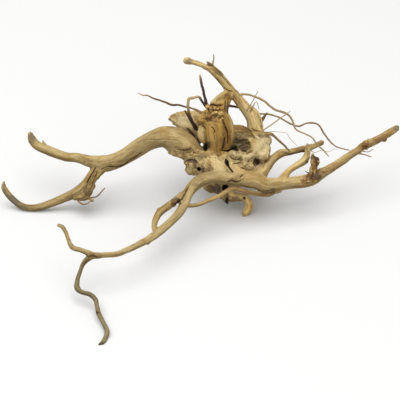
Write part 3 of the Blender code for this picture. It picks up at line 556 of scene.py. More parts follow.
def tube_surface(line, sides):
    """Points and faces of a round profile carried along a line, closed by rounded ends.

    Ring k is centre[k] + radius[k] * (cos a * side[k] + sin a * over[k]). At both ends the rings go
    on along the heading as half a ball of the end's radius.
    """
    bow = np.radians([30.0, 60.0, 80.0])
    ends = []
    for index, sign in ((0, -1.0), (-1, 1.0)):
        radius = line.radii[index]
        ends.append((line.points[index] + sign * line.heading[index] * radius * np.sin(bow)[:, None],
                     radius * np.cos(bow)))
    centres = np.vstack((ends[0][0][::-1], line.points, ends[1][0]))
    radii = np.concatenate((ends[0][1][::-1], line.radii, ends[1][1]))
    pad = len(bow)
    side = np.pad(line.side, ((pad, pad), (0, 0)), mode="edge")
    over = np.pad(line.over, ((pad, pad), (0, 0)), mode="edge")
    angle = np.linspace(0, 2 * math.pi, sides, endpoint=False)
    spokes = np.cos(angle)[None, :, None] * side[:, None] + np.sin(angle)[None, :, None] * over[:, None]
    rings = centres[:, None] + radii[:, None, None] * spokes
    first = line.points[0] - line.heading[0] * line.radii[0]
    last = line.points[-1] + line.heading[-1] * line.radii[-1]
    points = np.vstack((rings.reshape(-1, 3), first, last))
    return points, *closed_faces(len(centres), sides)


def ball_surface(centre, half, rough, seed):
    """Points and faces of an ellipsoid in the sighted frame, its radius roughened by noise.

    A point at latitude b and longitude a is half * (cos b cos a, sin b, cos b sin a) * swell. Its
    faces run the other way round from a tube's, so that they point outwards.
    """
    tilt = np.linspace(-math.pi / 2, math.pi / 2, BALL_RINGS + 2)[1:-1]
    turn = np.linspace(0, 2 * math.pi, BALL_SIDES, endpoint=False)
    b, a = np.meshgrid(tilt, turn, indexing="ij")
    unit = np.stack((np.cos(b) * np.cos(a), np.sin(b), np.cos(b) * np.sin(a)), axis=-1).reshape(-1, 3)
    unit = np.vstack((unit, (0, -1, 0), (0, 1, 0)))
    swell = 1 + rough * Noise(seed).layered(unit * 1.7 + 40, 3)
    reach = np.asarray(centre) + unit * np.asarray(half) * swell[:, None]
    points, _ = placed(np.column_stack((reach, np.zeros(len(reach)))))
    quads, fans = closed_faces(BALL_RINGS, BALL_SIDES)
    return points, quads[:, [0, 3, 2, 1]], fans[:, [1, 0, 2]]


def joined(surfaces):
    """One (points, quads, triangles) from several, with the indices moved up."""
    points = np.vstack([surface[0] for surface in surfaces])
    starts = np.cumsum([0] + [len(surface[0]) for surface in surfaces[:-1]])
    quads = np.vstack([surface[1] + start for surface, start in zip(surfaces, starts)])
    triangles = np.vstack([surface[2] + start for surface, start in zip(surfaces, starts)])
    return points, quads, triangles


def new_object(name, points, quads, triangles):
    """A mesh object at the origin with these points, given in mm, and faces."""
    mesh = bpy.data.meshes.new(name)
    mesh.vertices.add(len(points))
    mesh.vertices.foreach_set("co", (points * MM).astype(np.float32).ravel())
    corners = np.concatenate((quads.ravel(), triangles.ravel())).astype(np.int32)
    starts = np.concatenate((np.arange(len(quads)) * 4,
                             len(quads) * 4 + np.arange(len(triangles)) * 3)).astype(np.int32)
    mesh.loops.add(len(corners))
    mesh.loops.foreach_set("vertex_index", corners)
    mesh.polygons.add(len(starts))
    mesh.polygons.foreach_set("loop_start", starts)
    mesh.update(calc_edges=True)
    mesh.validate()
    obj = bpy.data.objects.new(name, mesh)
    bpy.context.scene.collection.objects.link(obj)
    return obj


def apply_modifiers(obj):
    """Replaces the object's mesh by what its modifiers make of it."""
    graph = bpy.context.evaluated_depsgraph_get()
    made = bpy.data.meshes.new_from_object(obj.evaluated_get(graph))
    obj.modifiers.clear()
    old = obj.data
    obj.data = made
    bpy.data.meshes.remove(old)


def mesh_points(mesh):
    """The mesh's points in mm."""
    points = np.empty(len(mesh.vertices) * 3, np.float32)
    mesh.vertices.foreach_get("co", points)
    return points.reshape(-1, 3).astype(float) / MM


def mesh_triangles(mesh):
    """The mesh's triangles as rows of three point numbers."""
    mesh.calc_loop_triangles()
    triangles = np.empty(len(mesh.loop_triangles) * 3, np.int32)
    mesh.loop_triangles.foreach_get("vertices", triangles)
    return triangles.reshape(-1, 3)


def skin_of(mesh):
    """The mesh's points in mm, its triangles and its unit normals."""
    points = mesh_points(mesh)
    triangles = mesh_triangles(mesh)
    return points, triangles, point_normals(points, triangles)


def summed(index, rows, count):
    """Sums rows that share an index."""
    return np.column_stack([np.bincount(index, rows[:, i], count) for i in range(rows.shape[1])])


def point_normals(points, triangles):
    """Unit normals: each point's is the sum of its triangles' area vectors."""
    a, b, c = (points[triangles[:, i]] for i in range(3))
    area = np.cross(b - a, c - a)
    total = sum(summed(triangles[:, i], area, len(points)) for i in range(3))
    return total / np.maximum(np.linalg.norm(total, axis=1), 1e-12)[:, None]


def mean_offset(points, triangles):
    """From each point to the mean of its neighbours, on a closed mesh."""
    start = triangles.ravel()
    end = np.roll(triangles, -1, axis=1).ravel()
    count = np.bincount(start, minlength=len(points))
    return summed(start, points[end], len(points)) / np.maximum(count, 1)[:, None] - points


def fill_creases(points, triangles, rounds):
    """Rounds the inward creases where limbs meet, and leaves outward edges as they are.

    Each round moves a point outwards along its normal by half of how far its neighbours' mean lies
    outside it, so only hollow places fill.
    """
    for _ in range(rounds):
        normals = point_normals(points, triangles)
        rise = dots(mean_offset(points, triangles), normals)
        points = points + normals * np.maximum(rise, 0)[:, None] * 0.5
    return points


def form_fields(points, triangles, normals):
    """How deep each point lies in a fold, 0 to 1, and how far its broad form faces up, -1 to 1, by
    which the finish paints shade.

    The skin is smoothed; the fold's depth is how far the smoothed skin lies above the point, and
    the facing is the height of the smoothed skin's normal.
    """
    smooth = points
    for _ in range(FOLD_SHADE_ROUNDS):
        smooth = smooth + mean_offset(smooth, triangles)
    rise = dots(smooth - points, normals)
    facing = point_normals(smooth, triangles)[:, 2]
    return np.clip(rise / FOLD_SHADE_DEPTH, 0, 1), facing


class Wood:
    """What grows where on the burl and limbs: how near each limb is, and its fibre directions."""

    FIBRE_SPACING = 2.5
    FADE = 2.2

    # Noise pitches along a limb's side, over and heading. FINE is per mm, the others per radius.
    COARSE = (1.9, 1.9, 0.28)
    FINE = (0.75, 0.75, 0.06)
    SHARP = (2.6, 2.6, 0.2)
    STREAK = (1.6, 1.6, 0.16)

    # Sizes in mm of the cork's knobs, pits, cracks and streaks.
    KNOB = 7.5
    PIT = 2.6
    CRACK = 5.5
    BLOTCH = 4.2
    LUMP_SHARE = 0.8
    LUMP_LIGHTNESS = 1.1

    def __init__(self, points):
        count = len(points)
        self.points = points
        self.total = np.full(count, 1e-6)
        self.fibre = np.zeros((count, 3))
        (self.best, self.second, self.relief, self.streak, self.ochre, self.cork,
         self.lightness) = np.zeros((7, count))
        for seed, (_, ridge, ochre, lightness, stations) in enumerate(LIMBS, 1):
            self.add_limb(Line(stations, self.FIBRE_SPACING), ridge, ochre, lightness, seed)
        for lump in LUMPS:
            self.add_lump(lump)
        for values in (self.relief, self.streak, self.ochre, self.cork, self.lightness):
            values /= self.total
        self.torn = self.torn_share()
        splinters = Noise(SPLINTER_SEED)
        large = 0.3 - np.abs(splinters(points / 4.6 + 15))
        sharp = 0.3 - np.abs(splinters(points / 2.4 + 45))
        self.relief += self.torn * (2.4 * large + 1.3 * sharp)
        self.clear = np.clip((self.best - self.second) * 3, 0, 1)

    def torn_share(self):
        """How torn each point is: 0 outside the torn places, up to each one's strength inside."""
        seen = sighted(self.points)
        ragged = Noise(RAGGED_SEED).layered(seen / 4.0, 2) * 0.25
        torn = np.zeros(len(seen))
        for strength, across, up, half_across, half_up in TORN:
            reach = np.hypot((seen[:, 0] - across) / half_across, (seen[:, 1] - up) / half_up)
            torn = np.maximum(torn, strength * np.clip((1.2 - reach + ragged) * 2, 0, 1))
        return torn

    def near(self, low, high, reach):
        """The numbers of the points inside a box grown by reach."""
        inside = np.all((self.points > low - reach) & (self.points < high + reach), axis=1)
        return np.flatnonzero(inside)

    def claim(self, chosen, weight, fibre):
        """Keeps the fibre of the strongest limb at each point, and how strong the next one is."""
        stronger = weight > self.best[chosen]
        self.second[chosen] = np.where(stronger, self.best[chosen],
                                       np.maximum(self.second[chosen], weight))
        won = chosen[stronger]
        self.best[won] = weight[stronger]
        self.fibre[won] = fibre[stronger]

    def add_limb(self, line, ridge, ochre, lightness, seed):
        """Adds a limb's ridges, which run along its fibres and so are stretched along it."""
        chosen = self.near(line.points.min(0), line.points.max(0), line.radii.max() + 5)
        if len(chosen) == 0:
            return
        points = self.points[chosen]
        nearest = squared_gaps(points, line.points).argmin(1)
        away = points - line.points[nearest]
        radius = line.radii[nearest]
        distance = np.linalg.norm(away, axis=1)
        weight = np.exp(-(np.maximum(distance - radius, 0) / self.FADE) ** 2)
        fibre = np.column_stack((
            dots(away, line.side[nearest]),
            dots(away, line.over[nearest]),
            line.along[nearest] + dots(away, line.heading[nearest])))
        turned = fibre / np.column_stack((radius, radius, radius))
        noise = Noise(seed)
        coarse = noise.layered(turned * self.COARSE + 30, 2)
        fine = noise.layered(fibre * self.FINE + 70, 2)
        sharp = -np.abs(noise(turned * self.SHARP + 50))
        relief = ridge * (0.55 * coarse + 0.9 * sharp + 0.35) + 0.28 * fine * min(1, ridge + 0.4)
        streak = 0.5 + 0.42 * noise.layered(turned * self.STREAK + 90, 3)
        self.total[chosen] += weight
        self.relief[chosen] += weight * relief
        self.streak[chosen] += weight * streak
        self.ochre[chosen] += weight * ochre
        self.lightness[chosen] += weight * lightness
        self.claim(chosen, weight, fibre + (0, 0, seed * FIBRE_APART))

    def add_lump(self, lump):
        """Adds a swelling's corky, pitted surface, which has no fibre direction."""
        centre = np.array(lump[:3], float)
        half = np.array(lump[3:6], float)
        seen = sighted(self.points)
        reach = np.linalg.norm((seen - centre) / half, axis=1)
        beyond = (reach - 1) * half.min()
        chosen = np.flatnonzero(beyond < 3 * self.FADE)
        weight = np.exp(-(np.maximum(beyond[chosen], 0) / self.FADE) ** 2) * self.LUMP_SHARE
        rough, ochre = lump[6:]
        points = self.points[chosen]
        noise = Noise(CORK_SEED)
        big = noise.layered(points / self.KNOB + 20, 3)
        pits = -np.maximum(0, noise.layered(points / self.PIT + 60, 2) - 0.25)
        cracks = -np.exp(-(noise.layered(points / self.CRACK + 35, 2) / 0.12) ** 2)
        self.total[chosen] += weight
        relief = 1.2 * big + 1.1 * pits + 0.6 * cracks
        self.relief[chosen] += weight * relief * (0.12 + 0.88 * rough)
        self.ochre[chosen] += weight * ochre
        self.streak[chosen] += weight * (0.5 + 0.5 * noise.layered(points / self.BLOTCH + 80, 3))
        self.cork[chosen] += weight * rough
        self.lightness[chosen] += weight * self.LUMP_LIGHTNESS
        self.claim(chosen, weight, points)


class Surface:
    """The wood's skin, on which marks are found along the line of sight."""

    BEHIND = -150
    BEFORE = 200

    def __init__(self, points, triangles):
        self.tree = BVHTree.FromPolygons(points.tolist(), triangles.tolist())

    def out_at(self, across, up, default):
        """How far out the nearest skin is along the sight through this across and up."""
        far, near = (Vector(placed([(across, up, out, 0)])[0][0])
                     for out in (self.BEHIND, self.BEFORE))
        hit = self.tree.ray_cast(near, (far - near).normalized())[0]
        if hit is None:
            return default
        return sighted(np.array([hit]))[0][2]


# Grooves, and flaps where the depth is negative: half width, depth, darkness, and the route of
# (across, up) that each takes over the front skin.
GROOVES = (
    (1.15, 2.4, 1, ((22.6, 81), (24.3, 76.5), (25.8, 72), (27.4, 67.5), (27.9, 62), (27.4, 56.5))),
    (1.15, 2.2, 1, ((25, 63), (24, 57.5), (22.8, 52.5), (22.6, 50.4))),
    (0.86, 1.2, 0.8, ((11.2, 73.4), (13.6, 71.4), (14.8, 68.8), (13.8, 66))),
    (0.86, 0.5, 0.3, ((14, 65.6), (14.8, 62.6), (14.6, 59.6))),
    (1.01, 1.2, 0.8, ((10, 95.2), (14, 94.6), (18, 93.8), (22.4, 95))),
    (0.94, 1.2, 0.9, ((7.6, 91.4), (9, 89.4), (9.8, 87))),
    (1.4, -1.3, -1, ((9.6, 83.6), (12.6, 86.6), (15.6, 88.4))),
    (1.3, -1.2, -1, ((14.4, 85.2), (17.4, 88), (20, 85.4), (23.6, 87))),
    (1.2, -1, -1, ((8.6, 77), (10, 78.6), (13, 78))),
    (3.2, 1.6, -1, ((6.6, 80.6), (10, 79.6))),
    (1.5, -1.2, -1, ((10.5, 91), (13, 92.6), (15.5, 91))),
    (1.5, -1.2, -1, ((17, 91.6), (19.5, 90.2), (22, 91.4))),
    (0.94, 0.9, 0.5, ((25.6, 99.5), (25, 94.5), (25.2, 88.5))),
    (0.94, 0.8, 0.4, ((28.3, 98.5), (27.8, 92), (27.2, 86.5))),
    (1.08, 2.2, 1, ((20.5, 49.6), (25, 49), (28.5, 49.2), (32, 51.2), (36, 52.8))),
    (0.86, 1, 0.6, ((-1.5, 75.2), (1.5, 75), (4, 73.2), (6.4, 70))),
    (0.94, 1, 0.9, ((24, 112), (27.5, 110), (32.5, 108.2))),
    (0.94, 1.2, 0.8, ((16, 122.5), (20, 116.5), (24, 111.5))),
    (0.86, 0.9, 0.6, ((12, 134.5), (18, 129), (24, 121.5), (31, 113))),
    (1.44, 2.4, 0.4, ((-12, 71), (-9, 67), (-5, 62.5), (-1, 57.5))),
    (0.86, 0.9, 0.7, ((-23, 50.6), (-15, 49.4), (-8, 51.3))),
    (1.08, 1.2, 0.75, ((-17, 36.5), (-12, 39.5), (-6, 39.5), (-2, 36.5))),
    (0.86, 0.8, 0.7, ((-5.6, 43), (-5.4, 38))),
    (1.1, 3.2, 1, ((27.4, 38.4), (28.4, 34), (30.2, 30.6), (33.2, 27.6))),
    (3, 2.8, 1, ((26.2, 40.4), (26.8, 37.4), (28, 34.2))),
    (1.01, 1.2, 0.7, ((29.5, 44), (34, 40.8), (40, 40.6))),
    (0.86, 0.9, 0.6, ((33, 36.4), (37, 36.6), (41, 37.2))),
    (0.94, 1, 0.6, ((40.5, 32.6), (45, 31))),
    (0.94, 1.1, 0.85, ((27.6, 18.4), (31.5, 19.6), (36, 18.2), (41, 19.4))),
    (0.79, 0.8, 0.6, ((31.5, 21.6), (33.5, 21.8))),
    (0.86, 0.9, 0.6, ((39.5, 22.5), (43.4, 25.6))),
    (1.08, 1.4, 0.8, ((-99, 30.5), (-93, 33.2), (-87, 33.2), (-81, 33.5), (-75.5, 35.5),
                     (-70, 39.8), (-64, 43.4), (-58, 47.6))),
    (0.94, 0.5, 0.2, ((-57, 57.6), (-52, 60.4), (-42, 60.3), (-32, 60.5), (-22, 59.4))),
    (1.08, 1.6, 1, ((-104.5, 32.5), (-107, 28), (-110, 23), (-113, 17))),
    (0.94, 1.2, 0.7, ((-102.5, 28.5), (-106, 20), (-108.2, 12))),
    (1.01, 1.6, 0.95, ((-11.5, 13.5), (-15.5, 6), (-18, 1), (-21, -3))),
    (1.01, 1.2, 0.9, ((-19, 1), (-23, -2.6), (-28.5, -4.5))),
    (0.86, 0.9, 0.8, ((-22, -5.6), (-26, -6.6))),
    (0.94, 1.1, 0.7, ((160, 54.5), (165, 53.2), (170, 54))),
    (0.94, 1, 0.6, ((161, 50.5), (166, 51.5), (171, 53.5))),
    (0.94, 0.9, 0.6, ((84, 47.5), (92, 46.2), (100, 48), (104, 49.8))),
    (0.86, 1, 0.7, ((43, 73.6), (48, 70.6), (52, 66.5))),
    (0.86, 0.8, 0.6, ((51, 71.4), (56, 69.2), (62, 68.6))),
    (0.94, 1.1, 0.6, ((118, 44), (116.5, 36), (117.5, 30))),
    (0.94, 1, 0.6, ((108, 20), (112.5, 23), (113, 29))),
)

# Soft strokes of colour: kind, strength, half width, and the route over the front skin. Stain strokes
# along the lower sides of limbs are painted shade, and pale strokes along their tops painted
# highlights.
STROKES = (
    # Painted shade along the left arm's lower side.
    ("stain", 0.52, 5, ((-74, 43), (-62, 50.5), (-50, 55.5), (-40, 56), (-30, 55.5), (-18, 54))),
    # Painted shade along the left arm's lower side, towards the hook.
    ("stain", 0.5, 2.6, ((-112, 35.5), (-100, 32.5), (-88, 34), (-76, 39), (-66, 45))),
    ("rust", 0.35, 1.6, ((-50, 63.6), (-38, 63), (-26, 62.6))),
    # Painted highlight along the left arm's top.
    ("pale", 0.15, 4, ((-84, 44), (-72, 51.5), (-60, 59), (-48, 66), (-36, 69.5), (-24, 67.5),
                      (-12, 60.5), (-4, 54))),
    ("brown", 0.8, 1.6, ((-81, 34.3), (-78, 34.6), (-75, 36))),
    ("brown", 0.35, 1.2, ((-32, 48), (-24, 50.4), (-14, 49), (-6, 51.4))),
    ("rust", 0.5, 2, ((-26, 54), (-18, 51), (-9, 53))),
    ("rust", 0.55, 2.6, ((-6, 48), (2, 47), (10, 45.5), (14, 47))),
    # Painted shade along the hook's lower side.
    ("stain", 0.5, 2.4, ((-170, -9.5), (-156, -9), (-142, -3.5), (-128, 2.5), (-118, 7))),
    ("rust", 0.6, 2.4, ((-103, 27), (-108, 19), (-110, 11))),
    ("purple", 0.85, 2.8, ((-13, 72), (-9, 67.5), (-5, 63), (0, 56.5))),
    ("dark", 0.8, 1.1, ((-3.6, 61.6), (0.4, 57))),
    ("dark", 0.9, 2, ((-8, 76), (-6.4, 73.5), (-4, 72))),
    ("rust", 0.6, 2.6, ((23, 79), (25, 73), (27, 67), (27.4, 60), (26, 52))),
    ("rust", 0.65, 2.6, ((22, 62), (22.4, 56), (21.6, 51))),
    ("brown", 0.7, 1.8, ((24.6, 60), (24, 55), (23.6, 50.6))),
    ("stain", 0.5, 2.6, ((17, 64), (17.4, 58), (16.6, 52))),
    ("rust", 0.85, 2.2, ((10, 95.6), (16, 95), (22.5, 95.4))),
    ("brown", 0.7, 1.5, ((12, 95.2), (17, 94.6), (22, 95.2))),
    ("rust", 0.6, 2, ((8, 82), (11, 79.6), (13, 81.5), (19, 80))),
    ("brown", 0.6, 2.2, ((6, 81.5), (9.5, 80.5), (12, 82.5))),
    ("purple", 0.75, 1.6, ((25.4, 98), (25.2, 92), (25.6, 88))),
    ("purple", 0.7, 1.6, ((28.4, 96), (27.8, 90), (27, 86))),
    ("ash", 0.45, 2, ((10, 97), (15, 101.5), (20, 106.5), (25, 109.5))),
    ("pale", 0.6, 1.4, ((9.6, 83.6), (12.6, 86.6), (15.6, 88.4))),
    ("pale", 0.6, 1.3, ((14.4, 85.2), (17.4, 88), (20, 85.4), (24, 86.4))),
    ("pale", 0.7, 1.4, ((5.6, 93.6), (8, 93.8), (9.6, 92))),
    ("pale", 0.6, 1, ((8.6, 76.8), (10, 78.2))),
    ("pale", 0.6, 1.1, ((4.6, 79.4), (7, 81.4), (9.4, 82))),
    ("rust", 0.8, 1.2, ((8.4, 86.4), (11, 84.4), (14, 85.8))),
    ("rust", 0.8, 1.3, ((3, 84.8), (6, 83.4), (8.4, 84.8))),
    ("brown", 0.7, 1, ((15.6, 83.6), (19, 82.6), (22.6, 84.4))),
    ("brown", 0.7, 1, ((10.4, 88.8), (12.6, 90.4), (15.4, 89.2), (17.8, 89.8))),
    ("rust", 0.7, 1.2, ((12, 77), (16, 78.4), (21, 77.2))),
    ("dark", 0.7, 0.9, ((8.2, 91), (8.8, 90), (9.6, 88.4))),
    ("ash", 0.3, 1.8, ((29, 84), (31.6, 77), (32.4, 70), (32, 62))),
    ("ash", 0.35, 3, ((1, 72), (0.6, 67), (3, 61))),
    ("stain", 0.55, 1.4, ((-1.5, 75.4), (2, 75), (5, 72.5), (7, 68.5))),
    ("dark", 0.95, 1.2, ((20.5, 49.6), (27, 49.2), (31, 50.4), (36, 52.6))),
    ("dark", 0.9, 1.4, ((34, 50.6), (39, 49.2))),
    ("dark", 0.85, 1.8, ((41, 49.4), (46, 48.6))),
    ("brown", 0.75, 1.5, ((36, 50.5), (41, 54), (47, 56.5), (50.5, 57.6))),
    ("brown", 0.7, 1.5, ((41, 51), (46, 53), (50, 53))),
    ("brown", 0.6, 1.4, ((38, 57), (42, 60), (47, 61))),
    ("ash", 0.5, 1.2, ((31.8, 52.5), (36, 56.5), (39.5, 60))),
    ("grey", 0.8, 3, ((36, 61.5), (39, 59.5), (43, 56))),
    ("grey", 0.7, 2.2, ((38, 54), (44, 51.5), (49, 51))),
    ("dark", 1, 1.7, ((27.4, 37.6), (28.6, 33.6), (30.6, 30), (33, 27.8))),
    ("dark", 1, 3.7, ((26.2, 40), (26.8, 37.2), (27.8, 34.4))),
    ("rust", 0.55, 1.6, ((29.5, 44), (34, 40.8), (41, 40.6))),
    ("rust", 0.6, 1.5, ((33, 36.4), (38, 36.6), (43, 38))),
    ("stain", 0.7, 1.8, ((40.5, 32.6), (46, 30.6), (52, 30.4))),
    # Painted shade: these three strokes darken the lower sides of the front and right limbs.
    ("stain", 0.5, 2.6, ((-8, 15), (0, 15), (10, 18.4), (20, 18.4), (30, 15.5), (38, 14.4))),
    ("stain", 0.6, 1.8, ((40, 15.4), (50, 12.6), (62, 10.4), (72, 10.2), (84, 12))),
    ("stain", 0.5, 2.2, ((84, 12.5), (96, 13.4), (106, 14.6), (118, 19.5))),
    ("rust", 0.7, 2, ((36, 10.4), (46, 8), (58, 6.4), (68, 6.6), (77, 10.6))),
    ("brown", 0.7, 1.2, ((56, 9.4), (66, 8.8), (76, 11.6))),
    ("brown", 0.7, 1.2, ((27.6, 18.4), (32, 19.4), (36, 18.2), (41, 19.4))),
    ("brown", 0.55, 1.3, ((39.5, 22), (43.4, 25.6))),
    # Painted highlight along the tops of the front and right limbs.
    ("pale", 0.25, 3.6, ((-12, 14), (-4, 22), (8, 27.5), (22, 28), (32, 26), (46, 26.5), (60, 23.5),
                        (76, 21))),
    # Painted highlight along the right limb's top.
    ("pale", 0.6, 2, ((84, 22), (98, 23.4), (106, 24))),
    ("dark", 0.7, 0.9, ((-11.8, 13), (-15.5, 6), (-18.2, 0.5))),
    ("brown", 0.55, 2.2, ((-18, 1), (-23, -2), (-28.5, -4.6))),
    # Painted shade: these two strokes darken the lower sides of the side loop and of the front limb.
    ("stain", 0.6, 2, ((-31, -9.5), (-38, -15), (-41.8, -21))),
    ("stain", 0.5, 1.6, ((-20, -20), (-34, -31), (-48, -42), (-62, -49.6))),
    # Painted highlight along the front limb's top.
    ("pale", 0.5, 1.5, ((-22, -9), (-32, -19), (-44, -29.5), (-58, -39))),
    ("brown", 0.6, 1.4, ((57, 87), (60.4, 80), (61.4, 72))),
    ("ash", 0.35, 2.4, ((42, 96), (49, 85), (53.5, 75))),
    ("rust", 0.5, 2.4, ((34, 104), (38, 99), (42, 94))),
    ("rust", 0.55, 1.5, ((26, 122), (31, 115.5), (37, 107))),
    ("brown", 0.45, 1, ((8, 138), (15, 132), (22, 125))),
    # Painted highlight: a white line between the two crown strands.
    ("ash", 0.7, 1, ((22.6, 120.5), (26, 116.5), (29, 113))),
    ("stain", 0.55, 1.6, ((0, 133), (9, 128.5), (14.5, 124.6), (19, 118))),
    ("rust", 0.5, 2, ((112, 56), (104, 52), (94, 50))),
    # Painted shade along the upper fork's lower side.
    ("stain", 0.5, 1.8, ((70, 33), (76, 40), (84, 44.6), (94, 45.4))),
    # Painted shade along the right limb's lower side.
    ("stain", 0.55, 1.6, ((120, 22.5), (132, 29), (144, 37), (154, 44.5))),
    ("rust", 0.5, 2, ((150, 51), (158, 55), (166, 58))),
    # Painted shade along the lower side of the right limb's end.
    ("stain", 0.5, 2, ((176, 57), (186, 62.6), (194, 67))),
    ("rust", 0.6, 1.6, ((176, 60), (183, 61.4), (187, 62))),
    # Painted highlight along the top of the right limb's outer part.
    ("pale", 0.5, 1.8, ((132, 36), (144, 44), (154, 51))),
    ("ash", 0.7, 1.6, ((14, 14), (16.5, 9.5), (18, 6))),
    ("purple", 0.9, 2, ((10, 15), (14, 11), (16, 6))),
    ("stain", 0.6, 2, ((28, -1), (36, -3), (42, -1))),
    ("rust", 0.5, 1.6, ((48, 2), (51, -4), (50.6, -10))),
    ("ash", 0.35, 2.8, ((-112, -60), (-118.5, -66), (-121.5, -78), (-122, -88), (-114, -93),
                       (-105.5, -98), (-102.5, -108), (-98, -120), (-93.5, -130), (-97, -142))),
    ("rust", 0.7, 2, ((-111, -58), (-115, -62.5), (-118, -66.5))),
    ("brown", 0.7, 1.8, ((-112, -57), (-108, -55.4), (-103, -56.6))),
    ("brown", 0.55, 1, ((-124, -50.6), (-117, -53.4), (-112, -56))),
    ("brown", 0.55, 1.1, ((-123, -90.4), (-119, -93.2), (-113, -94.8), (-107.5, -98))),
    ("brown", 0.75, 1.3, ((-104, -111), (-101.5, -113.4))),
    ("brown", 0.6, 1, ((-99.4, -110.5), (-97, -115.5))),
    ("brown", 0.5, 1.2, ((-98, -137.5), (-95.6, -135))),
    ("rust", 0.4, 1.4, ((-93, -55.4), (-84, -54.4), (-76, -51.5))),
    ("brown", 0.5, 1, ((-136.6, -26.6), (-134.4, -29.6))),
    ("grey", 0.8, 2.4, ((-196.5, 15), (-194.5, 7), (-188.5, -1), (-180, -6.4), (-171, -8.6))),
    ("brown", 0.5, 1.2, ((-193, 2.6), (-187, -3.6), (-179, -8.4))),
    ("rust", 0.6, 2.4, ((118, 30), (124, 28), (130, 31.5))),
    ("brown", 0.5, 1.5, ((118, 23.6), (122, 26.6), (127, 29))),
    ("rust", 0.55, 2, ((148, 46), (154, 50.4), (160, 53.6))),
    ("brown", 0.55, 1.2, ((176, 57), (182, 58.6), (187, 60.8))),
    ("brown", 0.5, 1.3, ((103, 52.6), (107, 50.4), (109, 46))),
    ("rust", 0.45, 1.8, ((-60, 46), (-70, 41), (-84, 37.5))),
    # Painted shade along the lower side of the left arm's end.
    ("stain", 0.5, 1.6, ((-168, 50), (-154, 47.2), (-142, 43.6), (-130, 39.6))),
)

